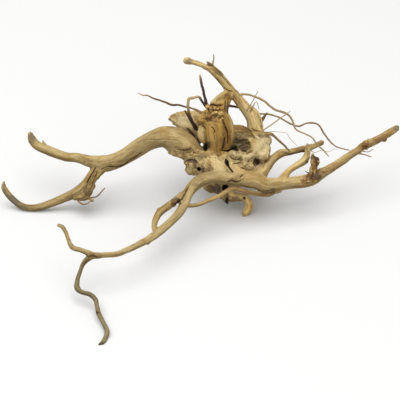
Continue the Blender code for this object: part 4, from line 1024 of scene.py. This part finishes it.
# Marks of colour: kind, strength, across, up, half across, half up, half out.
MARKS = (
    ("purple", 0.9, -9, 39.5, 5, 2.4, 9),
    ("purple", 0.8, -5, 37.5, 3, 4, 9),
    ("purple", 0.7, 2.5, 30, 2.4, 3.4, 8),
    ("purple", 0.9, 57, 38.5, 5, 5, 14),
    ("purple", 0.8, 17, 11, 5, 7, 16),
    ("purple", 0.8, 8.5, 55, 2.4, 4.6, 9),
    ("purple", 0.7, -7, 65, 4, 5, 8),
    ("purple", 0.6, 26.5, 91, 2, 4, 7),
    # Painted shade: the dark marks that sit in the rotted hollows, at -0.8, 33.5, 25, 5, -5, 57.5 and
    # 44 across, blacken them.
    ("dark", 0.95, -0.8, 30.8, 2.2, 2.4, 12),
    ("dark", 0.9, 33.5, 51.5, 3.4, 2, 14),
    ("dark", 0.7, 49.5, 57.5, 1.6, 1.2, 8),
    ("dark", 1, 25, 12.2, 4.6, 4.8, 18),
    ("dark", 0.95, 5, 53, 3, 5, 16),
    ("dark", 0.95, -5, 72, 3, 3.8, 12),
    ("dark", 0.9, 27, -1, 3, 4, 9),
    ("dark", 0.6, 57.5, 38, 3, 3, 14),
    ("dark", 0.7, -115, 38, 1.5, 1.2, 6),
    ("dark", 0.85, 44, 2, 1.8, 2, 5),
    ("dark", 0.6, 107, 38, 1.6, 1.6, 5),
    ("brown", 0.6, 8.6, 80, 3, 3, 6),
    ("rust", 0.8, 9, 82.5, 3.4, 5.5, 7),
    ("brown", 0.8, 8.6, 91, 1.3, 2.2, 5),
    ("brown", 0.7, 12.5, 93, 1.7, 1.1, 5),
    ("rust", 0.9, 4.6, 88, 2.2, 1.2, 5),
    ("brown", 0.65, 2.6, 82, 1.7, 0.9, 4),
    ("brown", 0.6, 20, 82, 2, 1, 5),
    ("pale", 0.7, 5.6, 85, 1.8, 1.3, 5),
    ("pale", 0.7, 21.4, 88, 1.7, 1.2, 5),
    ("pale", 0.6, 13.6, 80.4, 2.4, 1.1, 5),
    ("brown", 0.8, 115.5, 42, 4.6, 4.6, 10),
    ("brown", 0.7, 117, 36, 2, 4, 8),
    ("brown", 0.75, 115.5, 24, 6.5, 4.6, 10),
    ("rust", 0.8, 109, 23, 6, 4.6, 9),
    ("rust", 0.9, 103.5, 18.5, 3.4, 2.4, 6),
    ("rust", 0.7, 115, 33, 4, 5, 8),
    ("rust", 0.6, 164.5, 54.5, 5, 3.4, 7),
    ("rust", 0.5, 136, 33, 14, 5, 8),
    ("rust", 0.5, 183, 62, 15, 5, 10),
    ("rust", 0.5, 82, 46, 5, 4, 8),
    ("brown", 0.6, 103.5, 48.5, 3, 1.8, 6),
    ("brown", 0.4, 121, 57, 4, 3, 6),
    ("rust", 0.5, 45, 71, 12, 4, 8),
    ("rust", 0.5, 30, 12, 30, 2.6, 8),
    ("brown", 0.7, 69, 7.5, 9, 2, 6),
    ("rust", 0.7, -35.5, 74, 3, 1.6, 5),
    ("rust", 0.6, -28, 73, 5, 1.4, 5),
    ("rust", 0.6, 14, 131, 8, 2, 5),
    ("brown", 0.75, 10.5, 135.5, 5, 2.4, 5),
    ("brown", 0.6, 19, 127, 6, 3, 5),
    ("rust", 0.7, 28, 103.5, 3.5, 4, 6),
    ("rust", 0.5, 37, 97, 5, 2.4, 6),
    ("brown", 0.55, -24.5, -1.5, 5.5, 4.6, 8),
    ("brown", 0.5, -52.4, -45.7, 2, 1.8, 5),
    ("brown", 0.45, 166, 54, 2.4, 1.8, 6),
    ("brown", 0.5, -24, -1, 2.2, 6, 6),
    ("brown", 0.6, 9, 11, 7, 5, 16),
    ("brown", 0.6, 36, 0, 9, 4, 12),
    ("brown", 0.6, -112, 9, 6, 6, 9),
    ("brown", 0.5, -13, 50, 7, 2, 8),
    ("brown", 0.45, 48, 70.5, 9, 2.6, 6),
    ("brown", 0.4, 70, 6, 10, 3, 8),
    ("grey", 0.85, -186, 0, 8, 7, 8),
    ("grey", 0.8, -168, 62, 4.4, 7, 9),
    ("grey", 0.85, -99, -143.5, 3.6, 2.6, 6),
    ("grey", 0.7, 196.5, 72, 4, 4, 8),
    ("grey", 0.7, -11, 139, 4, 4, 8),
    ("grey", 0.7, 19, 7, 3, 7, 12),
    ("grey", 0.6, 40, 56, 9, 7, 14),
    ("ash", 0.6, 62, 54, 9, 14, 12),
    ("ash", 0.5, 54, 43, 8, 6, 10),
    ("ash", 0.3, 20, 36, 8, 8, 10),
    ("ash", 0.6, -16, 80, 14, 6, 14),
    ("dark", 0.7, -102, -112.7, 1.8, 1.6, 5),
    # Painted highlight along the left arm's upper side.
    ("pale", 0.2, -40, 66, 28, 3.4, 10),
    ("pale", 0.15, 16, 36, 9, 8, 10),
    # Painted highlight: these two marks lighten the upper sides of the front and right limbs.
    ("pale", 0.35, 20, 25, 24, 3.2, 10),
    ("pale", 0.4, 86, 21, 22, 2.6, 8),
    ("pale", 0.7, -16, 78, 12, 8, 14),
    ("pale", 0.3, 2, 66, 3.4, 6, 6),
    ("pale", 0.6, 14, 100, 3, 4, 6),
)
MARK_KINDS = ("pale", "ash", "stain", "rust", "grey", "brown", "purple", "dark")
ROUTE_STEP = 0.5
DEPTH_SHARE = (1, 1, 0.33)


def along_route(seen, skin, half_width, route):
    """Which points lie by a route over the front skin, and how near: 1 on it, 0 half_width away.

    Distances are measured across the line of sight, and along it at a third. The route is half as
    wide at its ends as in the middle, and its edges waver.
    """
    flat = smooth_rows(np.column_stack((np.array(route, float), np.zeros(len(route)))), ROUTE_STEP)
    outs = np.array([skin.out_at(across, up, math.nan) for across, up, _ in flat])
    struck = np.flatnonzero(~np.isnan(outs))
    if len(struck) == 0:
        return struck, np.zeros(0)
    outs = np.interp(np.arange(len(flat)), struck, outs[struck])
    path = np.column_stack((flat[:, :2], outs)) * DEPTH_SHARE
    reach = half_width * 2 + 1
    scaled = seen * DEPTH_SHARE
    inside = np.all((scaled > path.min(0) - reach) & (scaled < path.max(0) + reach), axis=1)
    chosen = np.flatnonzero(inside)
    near = scaled[chosen]
    gap = squared_gaps(near, path)
    closest = gap.argmin(1)
    distance = np.sqrt(np.maximum(gap[np.arange(len(near)), closest], 0))
    distance += 0.25 * half_width * Noise(ROUTE_SEED)(near / (1.6 * half_width))
    bulge = np.clip(np.sin(math.pi * closest / (len(path) - 1)), 0, 1) ** 0.5
    width = half_width * (0.5 + 0.5 * bulge)
    return chosen, np.clip(1 - distance / width, -1, 1)


def carve_grooves(points, normals, skin):
    """Sinks each groove into the skin, and gives each point's nearness to one.

    The skin sinks by the groove's depth times a smooth step of the nearness, so that a groove is
    a soft V with a narrow floor. Nearness levels off at the groove's darkness.
    """
    seen = sighted(points)
    nearness = np.full(len(points), -1.0)
    moved = points.copy()
    for half_width, depth, dark, route in GROOVES:
        chosen, share = along_route(seen, skin, half_width, route)
        sunk = np.clip(share * 1.3, 0, 1)
        moved[chosen] -= normals[chosen] * (sunk * sunk * (3 - 2 * sunk) * depth)[:, None]
        nearness[chosen] = np.maximum(nearness[chosen], np.minimum(share * 1.3, dark))
    return moved, nearness


def paint_marks(points, skin):
    """How far inside a mark of each kind each point lies: strength at its middle, 0 at its edge."""
    seen = sighted(points)
    ragged = Noise(MARK_SEED).layered(points / 3.2, 3) * 0.3
    layers = {kind: np.full(len(points), OUTSIDE) for kind in MARK_KINDS}
    for kind, strength, across, up, half_across, half_up, half_out in MARKS:
        middle = (across, up, skin.out_at(across, up, 0.0))
        reach = np.linalg.norm((seen - middle) / (half_across, half_up, half_out), axis=1)
        share = np.clip((1.15 - reach + ragged) * 1.6, OUTSIDE, strength)
        layers[kind] = np.maximum(layers[kind], share)
    for kind, strength, half_width, route in STROKES:
        chosen, share = along_route(seen, skin, half_width, route)
        share = np.clip(share * 1.5 + ragged[chosen] * 0.6, OUTSIDE, strength)
        layers[kind][chosen] = np.maximum(layers[kind][chosen], share)
    return layers


def hollow_depth(points):
    """How far inside one of the rotted hollows each point is, from 0 outside to 1 deep inside."""
    seen = sighted(points)
    depth = np.zeros(len(points))
    for hollow in HOLLOWS:
        reach = np.linalg.norm((seen - hollow[:3]) / (np.array(hollow[3:]) + 0.8), axis=1)
        depth = np.maximum(depth, np.clip((1.15 - reach) * 3, 0, 1))
    return depth


def write_attribute(mesh, name, values):
    """Stores a number or a vector for every point of the mesh."""
    kind = "FLOAT" if values.ndim == 1 else "FLOAT_VECTOR"
    field = "value" if values.ndim == 1 else "vector"
    layer = mesh.attributes.new(name, kind, "POINT")
    layer.data.foreach_set(field, values.astype(np.float32).ravel())


class Socket:
    """A shader socket on which Python's operators add Math nodes."""

    def __init__(self, tree, socket):
        self.tree = tree
        self.socket = socket

    def maths(self, operation, *values):
        """The result of a Math node on these values or sockets."""
        return self.tree.node("ShaderNodeMath", {"operation": operation}, values)

    def __add__(self, other):
        return self.maths("ADD", self, other)

    __radd__ = __add__

    def __mul__(self, other):
        return self.maths("MULTIPLY", self, other)

    __rmul__ = __mul__

    def __sub__(self, other):
        return self.maths("SUBTRACT", self, other)

    def __rsub__(self, other):
        return self.maths("SUBTRACT", other, self)

    def clamped(self):
        """Held between 0 and 1."""
        return self.tree.node("ShaderNodeClamp", {}, (self, 0.0, 1.0))

    def step(self, low, high):
        """A smooth rise from 0 at low to 1 at high."""
        return self.tree.node("ShaderNodeMapRange", {"interpolation_type": "SMOOTHSTEP"},
                              (self, low, high, 0.0, 1.0))


class Finish:
    """A material under construction."""

    def __init__(self, name, colours=None):
        self.colours = colours
        self.material = bpy.data.materials.new(name)
        self.material.use_nodes = True
        self.nodes = self.material.node_tree.nodes
        self.links = self.material.node_tree.links
        self.shader = self.nodes["Principled BSDF"]

    def node(self, kind, settings, inputs, output=0):
        """Adds a node, makes its settings and then fills its sockets in order, or by name."""
        made = self.nodes.new(kind)
        for name, value in settings.items():
            setattr(made, name, value)
        pairs = inputs.items() if isinstance(inputs, dict) else enumerate(inputs)
        for key, value in pairs:
            if isinstance(value, Socket):
                self.links.new(value.socket, made.inputs[key])
            else:
                made.inputs[key].default_value = value
        return Socket(self, made.outputs[output])

    def attribute(self, name, output="Fac"):
        """A point attribute of the piece."""
        return self.node("ShaderNodeAttribute", {"attribute_name": name}, {}, output)

    def place_mm(self):
        """Object coordinates in millimetres."""
        place = self.node("ShaderNodeTexCoord", {}, {}, "Object")
        return self.scaled(place, (1 / MM, 1 / MM, 1 / MM))

    def scaled(self, vector, factors):
        """A vector times three factors."""
        return self.node("ShaderNodeVectorMath", {"operation": "MULTIPLY"}, (vector, factors))

    def noise(self, vector, scale, detail, roughness=0.55):
        """Fractal noise from 0 to 1."""
        return self.node("ShaderNodeTexNoise", {},
                         {"Vector": vector, "Scale": scale, "Detail": detail, "Roughness": roughness})

    def drawn_noise(self, fibre, stretch, scale, detail, roughness=0.55):
        """Noise drawn out along the fibres, where its pitch is stretch times that across them."""
        return self.noise(self.scaled(fibre, (1.0, 1.0, stretch)), scale, detail, roughness)

    def mixed(self, share, first, second):
        """A colour between two, each a socket or the name of one of the panel's colours."""
        first, second = (tuple(getattr(self.colours, tint)) if isinstance(tint, str) else tint
                         for tint in (first, second))
        settings = {"data_type": "RGBA", "blend_type": "MIX"}
        return self.node("ShaderNodeMix", settings, {0: share, 6: first, 7: second}, 2)

    def shaded(self, colour, factor):
        """A colour times a number."""
        grey = self.node("ShaderNodeCombineColor", {}, (factor, factor, factor))
        settings = {"data_type": "RGBA", "blend_type": "MULTIPLY"}
        return self.node("ShaderNodeMix", settings, {0: 1.0, 6: colour, 7: grey}, 2)

    def bump(self, height, distance, strength):
        """A normal tilted by the height, with its distance in metres."""
        return self.node("ShaderNodeBump", {},
                         {"Strength": strength, "Distance": distance, "Height": height})

    def connect(self, name, value):
        """Feeds one of the shader's sockets."""
        if isinstance(value, Socket):
            self.links.new(value.socket, self.shader.inputs[name])
        else:
            self.shader.inputs[name].default_value = value


def wood_finish(colours):
    """Dry barkless wood: streaked along the fibres, ochre on the spire, corky on the burl."""
    finish = Finish(SLOT, colours)
    place = finish.place_mm()
    fibre = finish.attribute("fibre", "Vector")
    clear = finish.attribute("clear")
    cork = finish.attribute("cork").step(0.35, 0.8)
    streak = finish.attribute("streak")
    threads = finish.drawn_noise(fibre, 0.07, 1.1, 4.0)
    hairs = finish.drawn_noise(fibre, 0.05, 3.2, 3.0)
    stains = finish.drawn_noise(fibre, 0.06, 0.34, 3.0)
    flecks = finish.drawn_noise(fibre, 0.35, 0.42, 3.0, 0.6)
    patches = finish.noise(place, 0.08, 4.0, 0.6)
    grains = finish.noise(place, 0.9, 5.0, 0.65)
    rough_edge = (grains - 0.5) * 0.7 + (hairs - 0.5) * clear * 0.4
    mottle = ((threads - 0.5) * clear * 0.8 + (hairs - 0.5) * clear * 0.35 + (grains - 0.5) * 0.45
              + (stains - 0.5) * clear * 0.8 + (flecks - 0.5) * 0.9)
    tone = (streak + mottle).clamped()
    # Painted light and shade: wood whose broad form faces up is kept light, and wood facing down is
    # darkened, with the boundary broken up by noise.
    painted_facing_light = (finish.attribute("facing") + (stains - 0.5) * clear * 0.9
              + (patches - 0.5) * 0.5).step(-0.15, 0.55)
    colour = finish.mixed(tone.step(0.05, 0.85), "shade", "pale")
    colour = finish.mixed(stains.step(0.54, 0.74) * clear * 0.4, colour, "stain")
    colour = finish.mixed(patches.step(0.48, 0.7) * 0.5, colour, "ochre")
    blotch = (flecks * 0.5 + patches * 0.5).step(0.52, 0.66)
    colour = finish.mixed(blotch * 0.4, colour, "stain")
    cork_tone = finish.mixed((streak * 0.6 + grains * 0.5).step(0.25, 0.8), "cork_shade", "cork")
    colour = finish.mixed(cork * 0.85, colour, cork_tone)
    ochre_tone = finish.mixed(tone.step(0.05, 0.8), "rust", "ochre")
    colour = finish.mixed(finish.attribute("ochre").clamped(), colour, ochre_tone)
    # Painted shade on the down-facing sides, in the stain colour.
    colour = finish.mixed((1.0 - painted_facing_light) * 0.45, colour, "stain")
    scars = finish.noise(place, 0.34, 4.0, 0.6) * finish.attribute("torn").step(0.1, 0.8)
    colour = finish.mixed(scars.step(0.44, 0.6) * 0.7, colour, "rust")
    colour = finish.mixed(scars.step(0.56, 0.68) * 0.75, colour, "brown")
    flakes = finish.attribute("torn").step(0.2, 0.8) * flecks
    colour = finish.mixed(flakes.step(0.52, 0.66) * 0.7, colour, "pale")
    shares = {"pale": 0.6, "ash": 0.75, "stain": 0.7, "rust": 0.7, "grey": 0.85, "brown": 0.9,
              "purple": 0.85}
    # The pale and stain marks include painted highlights along the tops of limbs and painted shade
    # along their lower sides.
    for name, share in shares.items():
        mark = (finish.attribute(name) + rough_edge * 0.6).step(0.05, 0.9) * share
        colour = finish.mixed(mark, colour, name)
    # Painted shade: wood deep in folds is darkened towards the stain colour.
    colour = finish.mixed(finish.attribute("shelter").clamped() * 0.42, colour, "stain")
    # Painted shade: wood in crevices is darkened towards brown.
    colour = finish.mixed((finish.attribute("crevice") + rough_edge * 0.4).clamped() * 0.6, colour,
                          "brown")
    crack = (finish.attribute("crack") + rough_edge * 0.35).step(0.1, 0.95)
    colour = finish.mixed(crack * 0.8, colour, "brown")
    hole = (finish.attribute("dark") + rough_edge * 0.4).step(0.25, 0.9)
    colour = finish.mixed(hole, colour, "dark")
    colour = finish.shaded(colour, finish.attribute("lightness"))
    finish.connect("Base Color", colour)
    finish.connect("Specular IOR Level", 0.25)
    finish.connect("Roughness", (0.62 + cork * 0.25 + (1.0 - tone) * 0.12).clamped())
    height = threads * clear * 0.3 + hairs * clear * 0.15 + grains * (0.25 + cork * 0.9)
    finish.connect("Normal", finish.bump(height - crack * 0.8, 0.0008, 0.8))
    return finish.material


def rootlet_finish(colours):
    """Thin rootlets, from pale tan to near black along their stored darkness."""
    finish = Finish("rootlet_wood", colours)
    fibre = finish.attribute("fibre", "Vector")
    darkness = finish.attribute("darkness")
    threads = finish.drawn_noise(fibre, 0.12, 1.4, 4.0)
    tone = (darkness + (threads - 0.5) * 0.4).clamped()
    colour = finish.mixed(tone.step(0.0, 0.6), "rootlet_pale", "rootlet_brown")
    colour = finish.mixed(tone.step(0.6, 1.0), colour, "rootlet_dark")
    finish.connect("Base Color", colour)
    finish.connect("Specular IOR Level", 0.25)
    finish.connect("Roughness", 0.75)
    finish.connect("Normal", finish.bump(threads, 0.0004, 0.6))
    return finish.material


def shaded_smooth(obj, material):
    """Smooth shading, and its one material."""
    obj.data.materials.clear()
    obj.data.materials.append(material)
    obj.data.shade_smooth()


def raw_wood():
    """The limbs and swellings as overlapping closed surfaces, joined in one mesh."""
    surfaces = []
    for *_, stations in LIMBS:
        line = Line(stations, LIMB_SPACING)
        sides = THICK_SIDES if line.radii.max() > THICK_LIMB else THIN_SIDES
        surfaces.append(tube_surface(line, sides))
    for seed, lump in enumerate(LUMPS):
        surfaces.append(ball_surface(lump[:3], lump[3:6], LUMP_ROUGHNESS, seed))
    return new_object("wood", *joined(surfaces))


def carve_hollows(obj):
    """Cuts the rotted hollows out of the closed wood."""
    for seed, hollow in enumerate(HOLLOWS, HOLLOW_SEED):
        ball = ball_surface(hollow[:3], hollow[3:], HOLLOW_ROUGHNESS, seed)
        cutter = new_object("hollow", *ball)
        modifier = obj.modifiers.new("hollow", "BOOLEAN")
        modifier.operation = "DIFFERENCE"
        modifier.solver = "MANIFOLD"
        modifier.object = cutter
        apply_modifiers(obj)
        bpy.data.objects.remove(cutter)


def set_points(mesh, points):
    """Moves the mesh's points to these, given in mm."""
    mesh.vertices.foreach_set("co", (points * MM).astype(np.float32).ravel())
    mesh.update()


def remeshed(obj, size):
    """Gives the object one closed skin of even steps, size metres apart."""
    remesh = obj.modifiers.new("skin", "REMESH")
    remesh.mode = "VOXEL"
    remesh.voxel_size = size
    apply_modifiers(obj)


class SpiderwoodShape(bpy.types.PropertyGroup):
    """How finely the wood is modelled and how rough it is."""

    skin: bpy.props.FloatProperty(
        name="Skin", description="Size of the steps in which the joined wood is remeshed",
        default=0.00075, min=0.0004, max=0.003, unit="LENGTH", precision=5)
    triangles: bpy.props.IntProperty(
        name="Triangles", description="Most triangles that the wood keeps", default=192000)
    crease_rounds: bpy.props.IntProperty(
        name="Crease rounds", description="Rounds of filling where limbs meet", default=14)
    roughness: bpy.props.FloatProperty(
        name="Roughness", description="Height of the ridges, knobs and pits, against the usual",
        default=1.0, min=0.0, max=2.0, subtype="FACTOR")
    rootlet_thickness: bpy.props.FloatProperty(
        name="Rootlet thickness", description="Thickness of the rootlets, against the usual",
        default=0.9, min=0.5, max=2.0, subtype="FACTOR")


def colour_property(name, description, default):
    """A colour that the panel offers."""
    return bpy.props.FloatVectorProperty(name=name, description=description, default=default,
                                         subtype="COLOR", size=4, min=0.0, max=1.0)


class SpiderwoodColours(bpy.types.PropertyGroup):
    """The wood's colours, as linear values."""

    pale: colour_property("Pale", "Lit, polished wood", (0.545, 0.414, 0.19, 1))
    # Ash also paints one highlight line on the crown.
    ash: colour_property("Ash", "Bleached grey wood", (0.5, 0.425, 0.25, 1))
    shade: colour_property("Shade", "Darker streaks of the wood", (0.275, 0.187, 0.07, 1))
    # The stain colour also paints shade: on down-facing wood, in folds and along the lower sides of
    # limbs.
    stain: colour_property("Stain", "Long brown stains along the fibres", (0.155, 0.097, 0.03, 1))
    ochre: colour_property("Ochre", "Warm wood of the spire", (0.37, 0.215, 0.034, 1))
    rust: colour_property("Rust", "Scars and dark streaks of the spire", (0.165, 0.066, 0.009, 1))
    cork: colour_property("Cork", "Corky burl", (0.455, 0.368, 0.192, 1))
    cork_shade: colour_property("Cork shade", "Darker cork", (0.25, 0.182, 0.077, 1))
    # Brown also paints the shade in crevices.
    brown: colour_property("Brown", "Cracks and dark stubs", (0.05, 0.02, 0.005, 1))
    purple: colour_property("Purple", "Old heartwood in the hollows", (0.07, 0.032, 0.027, 1))
    grey: colour_property("Grey", "Weathered tips", (0.14, 0.115, 0.07, 1))
    # Dark also paints the shade inside the rotted hollows.
    dark: colour_property("Dark", "Deep cracks and holes", (0.008, 0.005, 0.004, 1))
    rootlet_pale: colour_property("Rootlet pale", "Dry rootlets", (0.36, 0.26, 0.125, 1))
    rootlet_brown: colour_property("Rootlet brown", "Brown rootlets", (0.12, 0.066, 0.024, 1))
    rootlet_dark: colour_property("Rootlet dark", "Dark rootlets", (0.042, 0.019, 0.013, 1))


class SPIDERWOOD_OT_wood(bpy.types.Operator):
    """Builds the burl and limbs as one carved, ridged surface"""

    bl_idname = "spiderwood.wood"
    bl_label = "Burl and limbs"

    def execute(self, context):
        shape = context.scene.spiderwood_shape
        obj = raw_wood()
        remeshed(obj, shape.skin)
        points = mesh_points(obj.data)
        points = fill_creases(points, mesh_triangles(obj.data), shape.crease_rounds)
        set_points(obj.data, points)
        carve_hollows(obj)
        remeshed(obj, shape.skin)
        self.roughen(obj, shape.roughness)
        thin = obj.modifiers.new("thin", "DECIMATE")
        thin.ratio = min(1.0, shape.triangles / len(mesh_triangles(obj.data)))
        apply_modifiers(obj)
        points = mesh_points(obj.data)
        points[:, 2] = np.maximum(points[:, 2], 0.0)
        set_points(obj.data, points)
        self.describe(obj)
        shaded_smooth(obj, wood_finish(context.scene.spiderwood_colours))
        obj.name = "root_wood"
        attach(obj, "root")
        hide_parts(NODE)
        return {"FINISHED"}

    def roughen(self, obj, height):
        """Raises ridges and knobs, sinks cracks and keeps the wood above the floor."""
        points, triangles, normals = skin_of(obj.data)
        skin = Surface(points, triangles)
        raised = points + normals * (Wood(points).relief * height)[:, None]
        raised, _ = carve_grooves(raised, normals, skin)
        raised[:, 2] = np.maximum(raised[:, 2], 0.0)
        set_points(obj.data, raised)

    def describe(self, obj):
        """Stores what the finish needs to know at each point."""
        points, triangles, normals = skin_of(obj.data)
        wood = Wood(points)
        skin = Surface(points, triangles)
        layers = paint_marks(points, skin)
        layers["crack"] = carve_grooves(points, normals, skin)[1]
        # Painted shade: wood inside the rotted hollows is darkened towards the dark colour.
        layers["dark"] = np.maximum(layers["dark"], hollow_depth(points) * 0.55)
        # For painted shade in the finish: how hollow each point lies, how deep in a fold, and how far
        # its form faces up.
        hollow = dots(mean_offset(points, triangles), normals)
        layers["crevice"] = np.clip(hollow / CREVICE_SHADE_DEPTH, OUTSIDE, 1)
        layers["shelter"], layers["facing"] = form_fields(points, triangles, normals)
        for name in ("lightness", "fibre", "clear", "torn", "streak", "ochre", "cork"):
            layers[name] = getattr(wood, name)
        for name, values in layers.items():
            write_attribute(obj.data, name, values)


class SPIDERWOOD_OT_rootlets(bpy.types.Operator):
    """Grows the thin rootlets and twigs out of the wood"""

    bl_idname = "spiderwood.rootlets"
    bl_label = "Rootlets"

    def execute(self, context):
        surfaces = []
        fibres = []
        darkness = []
        thickness = context.scene.spiderwood_shape.rootlet_thickness
        for seed, (_, stations) in enumerate(ROOTLETS, ROOTLET_SEED):
            line = Line(stations, ROOTLET_SPACING)
            left = np.clip((line.along[-1] - line.along) / TAPER_LENGTH, 0, 1)
            line.radii = line.radii * thickness * (TIP_SHARE + TAPER_SHARE * left ** 0.7)
            points, quads, fans = tube_surface(line, ROOTLET_SIDES)
            nearest = squared_gaps(points, line.points).argmin(1)
            away = points - line.points[nearest]
            noise = Noise(seed)
            swell = 0.14 * noise.layered(points / 1.8, 2) + 0.14 * noise(points / 5.0 + 30)
            bend = np.column_stack([Noise(seed + shift).layered(line.points / 6.0, 2)
                                    for shift in BEND_SEEDS])
            ease = np.clip(line.along / BEND_EASE, 0, 1)[:, None]
            points = points + away * swell[:, None] + (bend * ease * BEND_HEIGHT)[nearest]
            points[:, 2] = np.maximum(points[:, 2], 0.0)
            surfaces.append((points, quads, fans))
            fibres.append(np.column_stack((
                dots(away, line.side[nearest]),
                dots(away, line.over[nearest]),
                line.along[nearest] + seed * FIBRE_APART)))
            darkness.append(line.extra[nearest, 0])
        obj = new_object("rootlets", *joined(surfaces))
        write_attribute(obj.data, "fibre", np.vstack(fibres))
        write_attribute(obj.data, "darkness", np.concatenate(darkness))
        shaded_smooth(obj, rootlet_finish(context.scene.spiderwood_colours))
        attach(obj, "root")
        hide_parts(NODE)
        return {"FINISHED"}


class SPIDERWOOD_OT_stage(bpy.types.Operator):
    """Lays the pale floor, the soft lights and the camera"""

    bl_idname = "spiderwood.stage"
    bl_label = "Stage"

    # Half the floor's width in mm, and its paper.
    FLOOR_REACH = 6000
    PAPER_COLOUR = (0.62, 0.62, 0.615, 1)
    PAPER_ROUGHNESS = 0.9

    # Area lights: name, power in W, size in m, and place in m.
    LIGHTS = (
        ("key", 62, 2.6, (-0.4, -0.1, 2.2)),
        ("fill", 7, 1.6, (0.9, -1.5, 1.1)),
    )
    WORLD_STRENGTH = 0.68
    NEAREST_SEEN = 0.05

    def execute(self, context):
        scene = context.scene
        corners = np.array([(-1, -1, 0), (1, -1, 0), (1, 1, 0), (-1, 1, 0)], float)
        floor = new_object("floor", corners * self.FLOOR_REACH, np.array([(0, 1, 2, 3)]),
                           np.zeros((0, 3), int))
        paper = Finish("floor_paper")
        paper.connect("Base Color", self.PAPER_COLOUR)
        paper.connect("Roughness", self.PAPER_ROUGHNESS)
        floor.data.materials.append(paper.material)
        for light in self.LIGHTS:
            self.light(*light)
        world = bpy.data.worlds.new("studio")
        world.use_nodes = True
        sky = world.node_tree.nodes["Background"]
        sky.inputs["Color"].default_value = (1, 1, 1, 1)
        sky.inputs["Strength"].default_value = self.WORLD_STRENGTH
        scene.world = world
        scene.view_settings.view_transform = "Standard"
        aim = Vector((-ORIGIN_ACROSS, -ORIGIN_BACK, EYE_LINE_HEIGHT)) * MM
        away = Vector((0, -math.cos(TILT), math.sin(TILT)))
        camera = bpy.data.objects.new("camera", bpy.data.cameras.new("camera"))
        scene.collection.objects.link(camera)
        camera.location = aim + away * SIGHT * MM
        camera.rotation_euler = away.to_track_quat("Z", "Y").to_euler()
        camera.data.sensor_width = SENSOR_WIDTH
        camera.data.lens = SENSOR_WIDTH * SIGHT / PICTURE_WIDTH
        camera.data.clip_start = self.NEAREST_SEEN
        scene.camera = camera
        return {"FINISHED"}

    def light(self, name, power, size, place):
        """A square area light at place, in metres, aimed at the burl."""
        lamp = bpy.data.objects.new(name, bpy.data.lights.new(name, "AREA"))
        lamp.data.energy = power
        lamp.data.size = size
        lamp.location = place
        lamp.rotation_euler = Vector(place).to_track_quat("Z", "Y").to_euler()
        bpy.context.scene.collection.objects.link(lamp)


class SPIDERWOOD_PT_panel(bpy.types.Panel):
    """Lists the pieces and their settings"""

    bl_idname = "SPIDERWOOD_PT_panel"
    bl_label = "Spiderwood root"
    bl_space_type = "VIEW_3D"
    bl_region_type = "UI"
    bl_category = "Spiderwood"

    def draw(self, context):
        for settings in (context.scene.spiderwood_shape, context.scene.spiderwood_colours):
            for name in settings.bl_rna.properties.keys():
                if name not in ("name", "rna_type"):
                    self.layout.prop(settings, name)
        for operator in PIECES:
            self.layout.operator(operator.bl_idname)


PIECES = (SPIDERWOOD_OT_wood, SPIDERWOOD_OT_rootlets, SPIDERWOOD_OT_stage)
CLASSES = (SpiderwoodShape, SpiderwoodColours, *PIECES, SPIDERWOOD_PT_panel)


def register():
    """Registers the classes and hangs the settings on the scene."""
    for made in CLASSES:
        bpy.utils.register_class(made)
    bpy.types.Scene.spiderwood_shape = bpy.props.PointerProperty(type=SpiderwoodShape)
    bpy.types.Scene.spiderwood_colours = bpy.props.PointerProperty(type=SpiderwoodColours)


def unregister():
    """Takes the settings and classes away again."""
    del bpy.types.Scene.spiderwood_colours
    del bpy.types.Scene.spiderwood_shape
    for made in reversed(CLASSES):
        bpy.utils.unregister_class(made)


def main():
    """Builds the pieces in order."""
    register()
    bpy.ops.spiderwood.wood()
    bpy.ops.spiderwood.rootlets()
    bpy.ops.spiderwood.stage()


if __name__ == "__main__":
    main()
